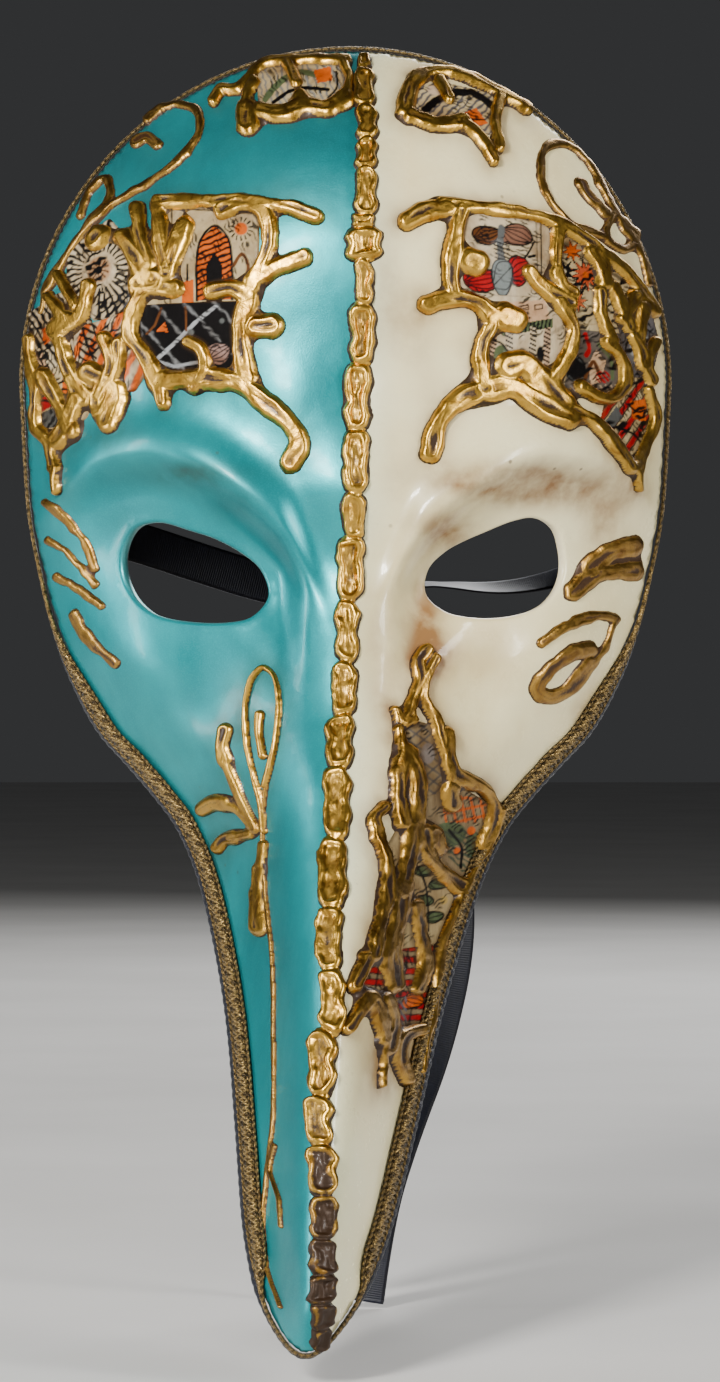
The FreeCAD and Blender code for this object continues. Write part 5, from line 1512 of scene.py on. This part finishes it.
def braid_corner(turn, outer, upper):
    """x, z and height of a corner of the braid's section, as in the CAD. turn is the way round."""
    z = edge_point(turn, 0.0)[1]
    slide, drop = float(edge_on(z)), float(edge_on(z, 1.0))
    out = BRAID_OUT + (CROWN_TRIM - BRAID_OUT) * slide
    if not outer:
        out = -BRAID_IN + (GLUE + BRAID_IN) * slide
    height = BRAID_HIGH if upper else GLUE
    low = -GLUE if upper else CROWN_SEAM + GLUE
    return (*edge_point(turn, out), height + (low - height) * drop)


def binding_corner(turn, outer, upper):
    """x, z and height of a corner of the binding's section, as in the CAD."""
    z = edge_point(turn, 0.0)[1]
    out = BINDING_OUT + (CROWN_TRIM - BINDING_OUT) * float(above_eyes(z)) if outer else GLUE
    height = CROWN_SEAM * float(edge_on(z, 1.0)) if upper else -SHELL_THICK
    return (*edge_point(turn, out), height)


def trim_section(corner):
    """The four corner lines of a band round the rim, divided alike every half millimetre."""
    turns = np.arange(640) / 640
    lines = []
    for outer, upper in ((True, False), (True, True), (False, True), (False, False)):
        spots = np.array([corner(t, outer, upper) for t in turns])
        skin = on_face(spots[:, 0], spots[:, 1])
        above = on_face(spots[:, 0], spots[:, 1], 1.0) - skin
        skin[:, 1] += spots[:, 2] / above[:, 1]
        lines.append(skin)
    lines = np.stack(lines, 1)
    lines = np.concatenate([lines, lines[:1]])
    run = np.concatenate([[0], np.cumsum(np.linalg.norm(np.diff(lines.mean(1), axis=0), axis=1))])
    at = np.arange(0, run[-1], run[-1] / round(run[-1] / TRIM_STEP))
    flat_lines = lines.reshape(len(lines), 12)
    return np.stack([np.interp(at, run, flat_lines[:, k]) for k in range(12)], 1).reshape(-1, 4, 3)


def in_section(section, a, b):
    """The point at a (-1 inner edge, 1 outer edge) and b (0 lower, 1 upper) of each section."""
    a, b = np.asarray(a)[:, None], np.asarray(b)[:, None]
    outer = section[:, 0] * (1 - b) + section[:, 1] * b
    inner = section[:, 3] * (1 - b) + section[:, 2] * b
    return inner * (1 - a) / 2 + outer * (1 + a) / 2


def thread(points, radius, ring):
    """A thin round tube's points along a closed line."""
    ahead = heading(points)
    side = unit(np.cross(ahead, (0.3, 1.0, 0.2)))
    over = np.cross(side, ahead)
    a = np.linspace(0, 2 * math.pi, ring, endpoint=False)[None, :, None]
    tube = np.cos(a) * side[:, None, :] + np.sin(a) * over[:, None, :]
    return (points[:, None, :] + radius * tube).reshape(-1, 3)


def braid():
    """Flat plait of gold thread: four weaving strands between two looped edges, on a bed in the
    threads' darkest colour, painted shade between the strands.
    """
    section = trim_section(braid_corner)
    count = len(section)
    middle = section.mean(1)
    side_on = edge_on(middle[:, 2], 1.0)[:, None]
    phase = 2 * math.pi * round(count * TRIM_STEP / PLAIT) * np.arange(count) / count
    shake = wobble(middle, 2.3, 5)
    points, faces, turn = [], [], []

    def at(across, over):
        """A point of the braid: across -1 to 1 of its width, over 0 to 1 of its thickness."""
        face_on = in_section(section, across, over)
        upright = in_section(section, 2 * over - 1, (1 - across) / 2)
        return face_on * (1 - side_on) + upright * side_on

    def add(block, ring, shade, closed_ring=True):
        start = sum(len(p) for p in points)
        points.append(block)
        faces.append(tube_faces(count, ring, closed_ring) + start)
        turn.append(np.repeat(shade, ring))

    # the last value given to add is painted highlight and shade along each strand's twist; the bed
    # gets 0, the darkest
    for k in range(4):
        angle = phase + k * math.pi / 2 + 0.4 * shake
        path = at(0.56 * np.sin(angle), 0.55 + 0.22 * np.cos(2 * angle))
        add(thread(path, 0.40, 7), 7, 0.5 + 0.5 * np.sin(angle * 2 + k))
    rise, fall = np.sin(3 * phase), np.cos(3 * phase)
    for edge in (-1, 1):
        loops = edge * (0.80 + 0.10 * np.abs(np.sin(1.5 * phase + shake)))
        add(thread(at(loops, 0.40 + 0.12 * fall), 0.27, 6), 6, 0.5 + 0.5 * rise)
        add(thread(at(loops * 0.86, 0.36 + 0.12 * rise), 0.25, 6), 6, 0.5 + 0.5 * fall)
    lanes = np.linspace(-0.92, 0.92, 8)
    bed = [at(np.full(count, lane), np.full(count, 0.08 + 0.26 * (1 - lane ** 2)))
           for lane in lanes]
    add(np.stack(bed, 1).reshape(-1, 3), 8, np.zeros(count), False)
    piece = new_mesh("rim_braid", np.vstack(points), np.vstack(faces), [BRAID],
                     {"turn": np.concatenate(turn)})
    hand_over(piece, "gold_braid")


def binding():
    """Navy cord wound over the edge: a soft band with a slanting bulge at each turn."""
    section = trim_section(binding_corner)
    count = len(section)
    phase = 2 * math.pi * round(count * TRIM_STEP / CORD_TURN) * np.arange(count) / count
    ring = 14
    lanes = np.linspace(0, 2 * math.pi, ring, endpoint=False)
    path, bulge_shading = [], []
    for angle in lanes:
        # wave also colours the cord through turn: lighter on each bulge and darker between, as
        # painted highlight and shade
        wave = 0.5 + 0.5 * np.cos(phase + angle)
        size = 0.78 + 0.22 * np.sqrt(wave)
        path.append(in_section(section, size * math.cos(angle), 0.5 + 0.5 * size * math.sin(angle)))
        bulge_shading.append(wave)
    piece = new_mesh("rim_binding", np.stack(path, 1).reshape(-1, 3), tube_faces(count, ring),
                     [BINDING], {"turn": np.stack(bulge_shading, 1).ravel()})
    hand_over(piece, "edge_binding")


braid()
binding()

# ---------------------------------------------------------------- tie patches keep their shape
for name in ("left_tie_patch", "right_tie_patch"):
    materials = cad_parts[name].data.materials
    materials.clear()
    materials.append(PATCH)


# ---------------------------------------------------------------- floor and light, in metres
def lamp(name, at, towards, size, power, colour=(1, 1, 1)):
    data = bpy.data.lights.new(name, "AREA")
    data.shape = "RECTANGLE"
    data.size, data.size_y = size
    data.energy = power
    data.color = colour
    light = placed(name, data)
    light.location = at
    aim = Vector(towards) - Vector(at)
    light.rotation_euler = aim.to_track_quat("-Z", "Y").to_euler()


low, far = cad_box[0][2] / MM - 1.0, 7000.0
corners = [(-far, -far, low), (far, -far, low), (far, far, low), (-far, far, low)]
new_mesh("floor", corners, [(0, 1, 2, 3)], [FLOOR])
lamp("key", (-0.52, -1.15, 0.52), (0, -0.05, 0), (0.22, 0.3), 25, (1, 0.98, 0.95))
lamp("left", (-1.25, -0.1, 0.15), (0, -0.04, -0.05), (0.12, 0.8), 8)
lamp("right", (1.05, -0.75, 0.3), (0, -0.04, -0.03), (0.2, 0.7), 12, (1, 0.99, 0.97))
lamp("rear", (0.5, 1.5, 1.0), (0, 0, -0.05), (1.0, 1.0), 26)
world = bpy.data.worlds.new("room")
world.use_nodes = True
sky = world.node_tree.nodes["Background"].inputs
sky["Color"].default_value = (0.8, 0.82, 0.85, 1)
sky["Strength"].default_value = 0.045
bpy.context.scene.world = world
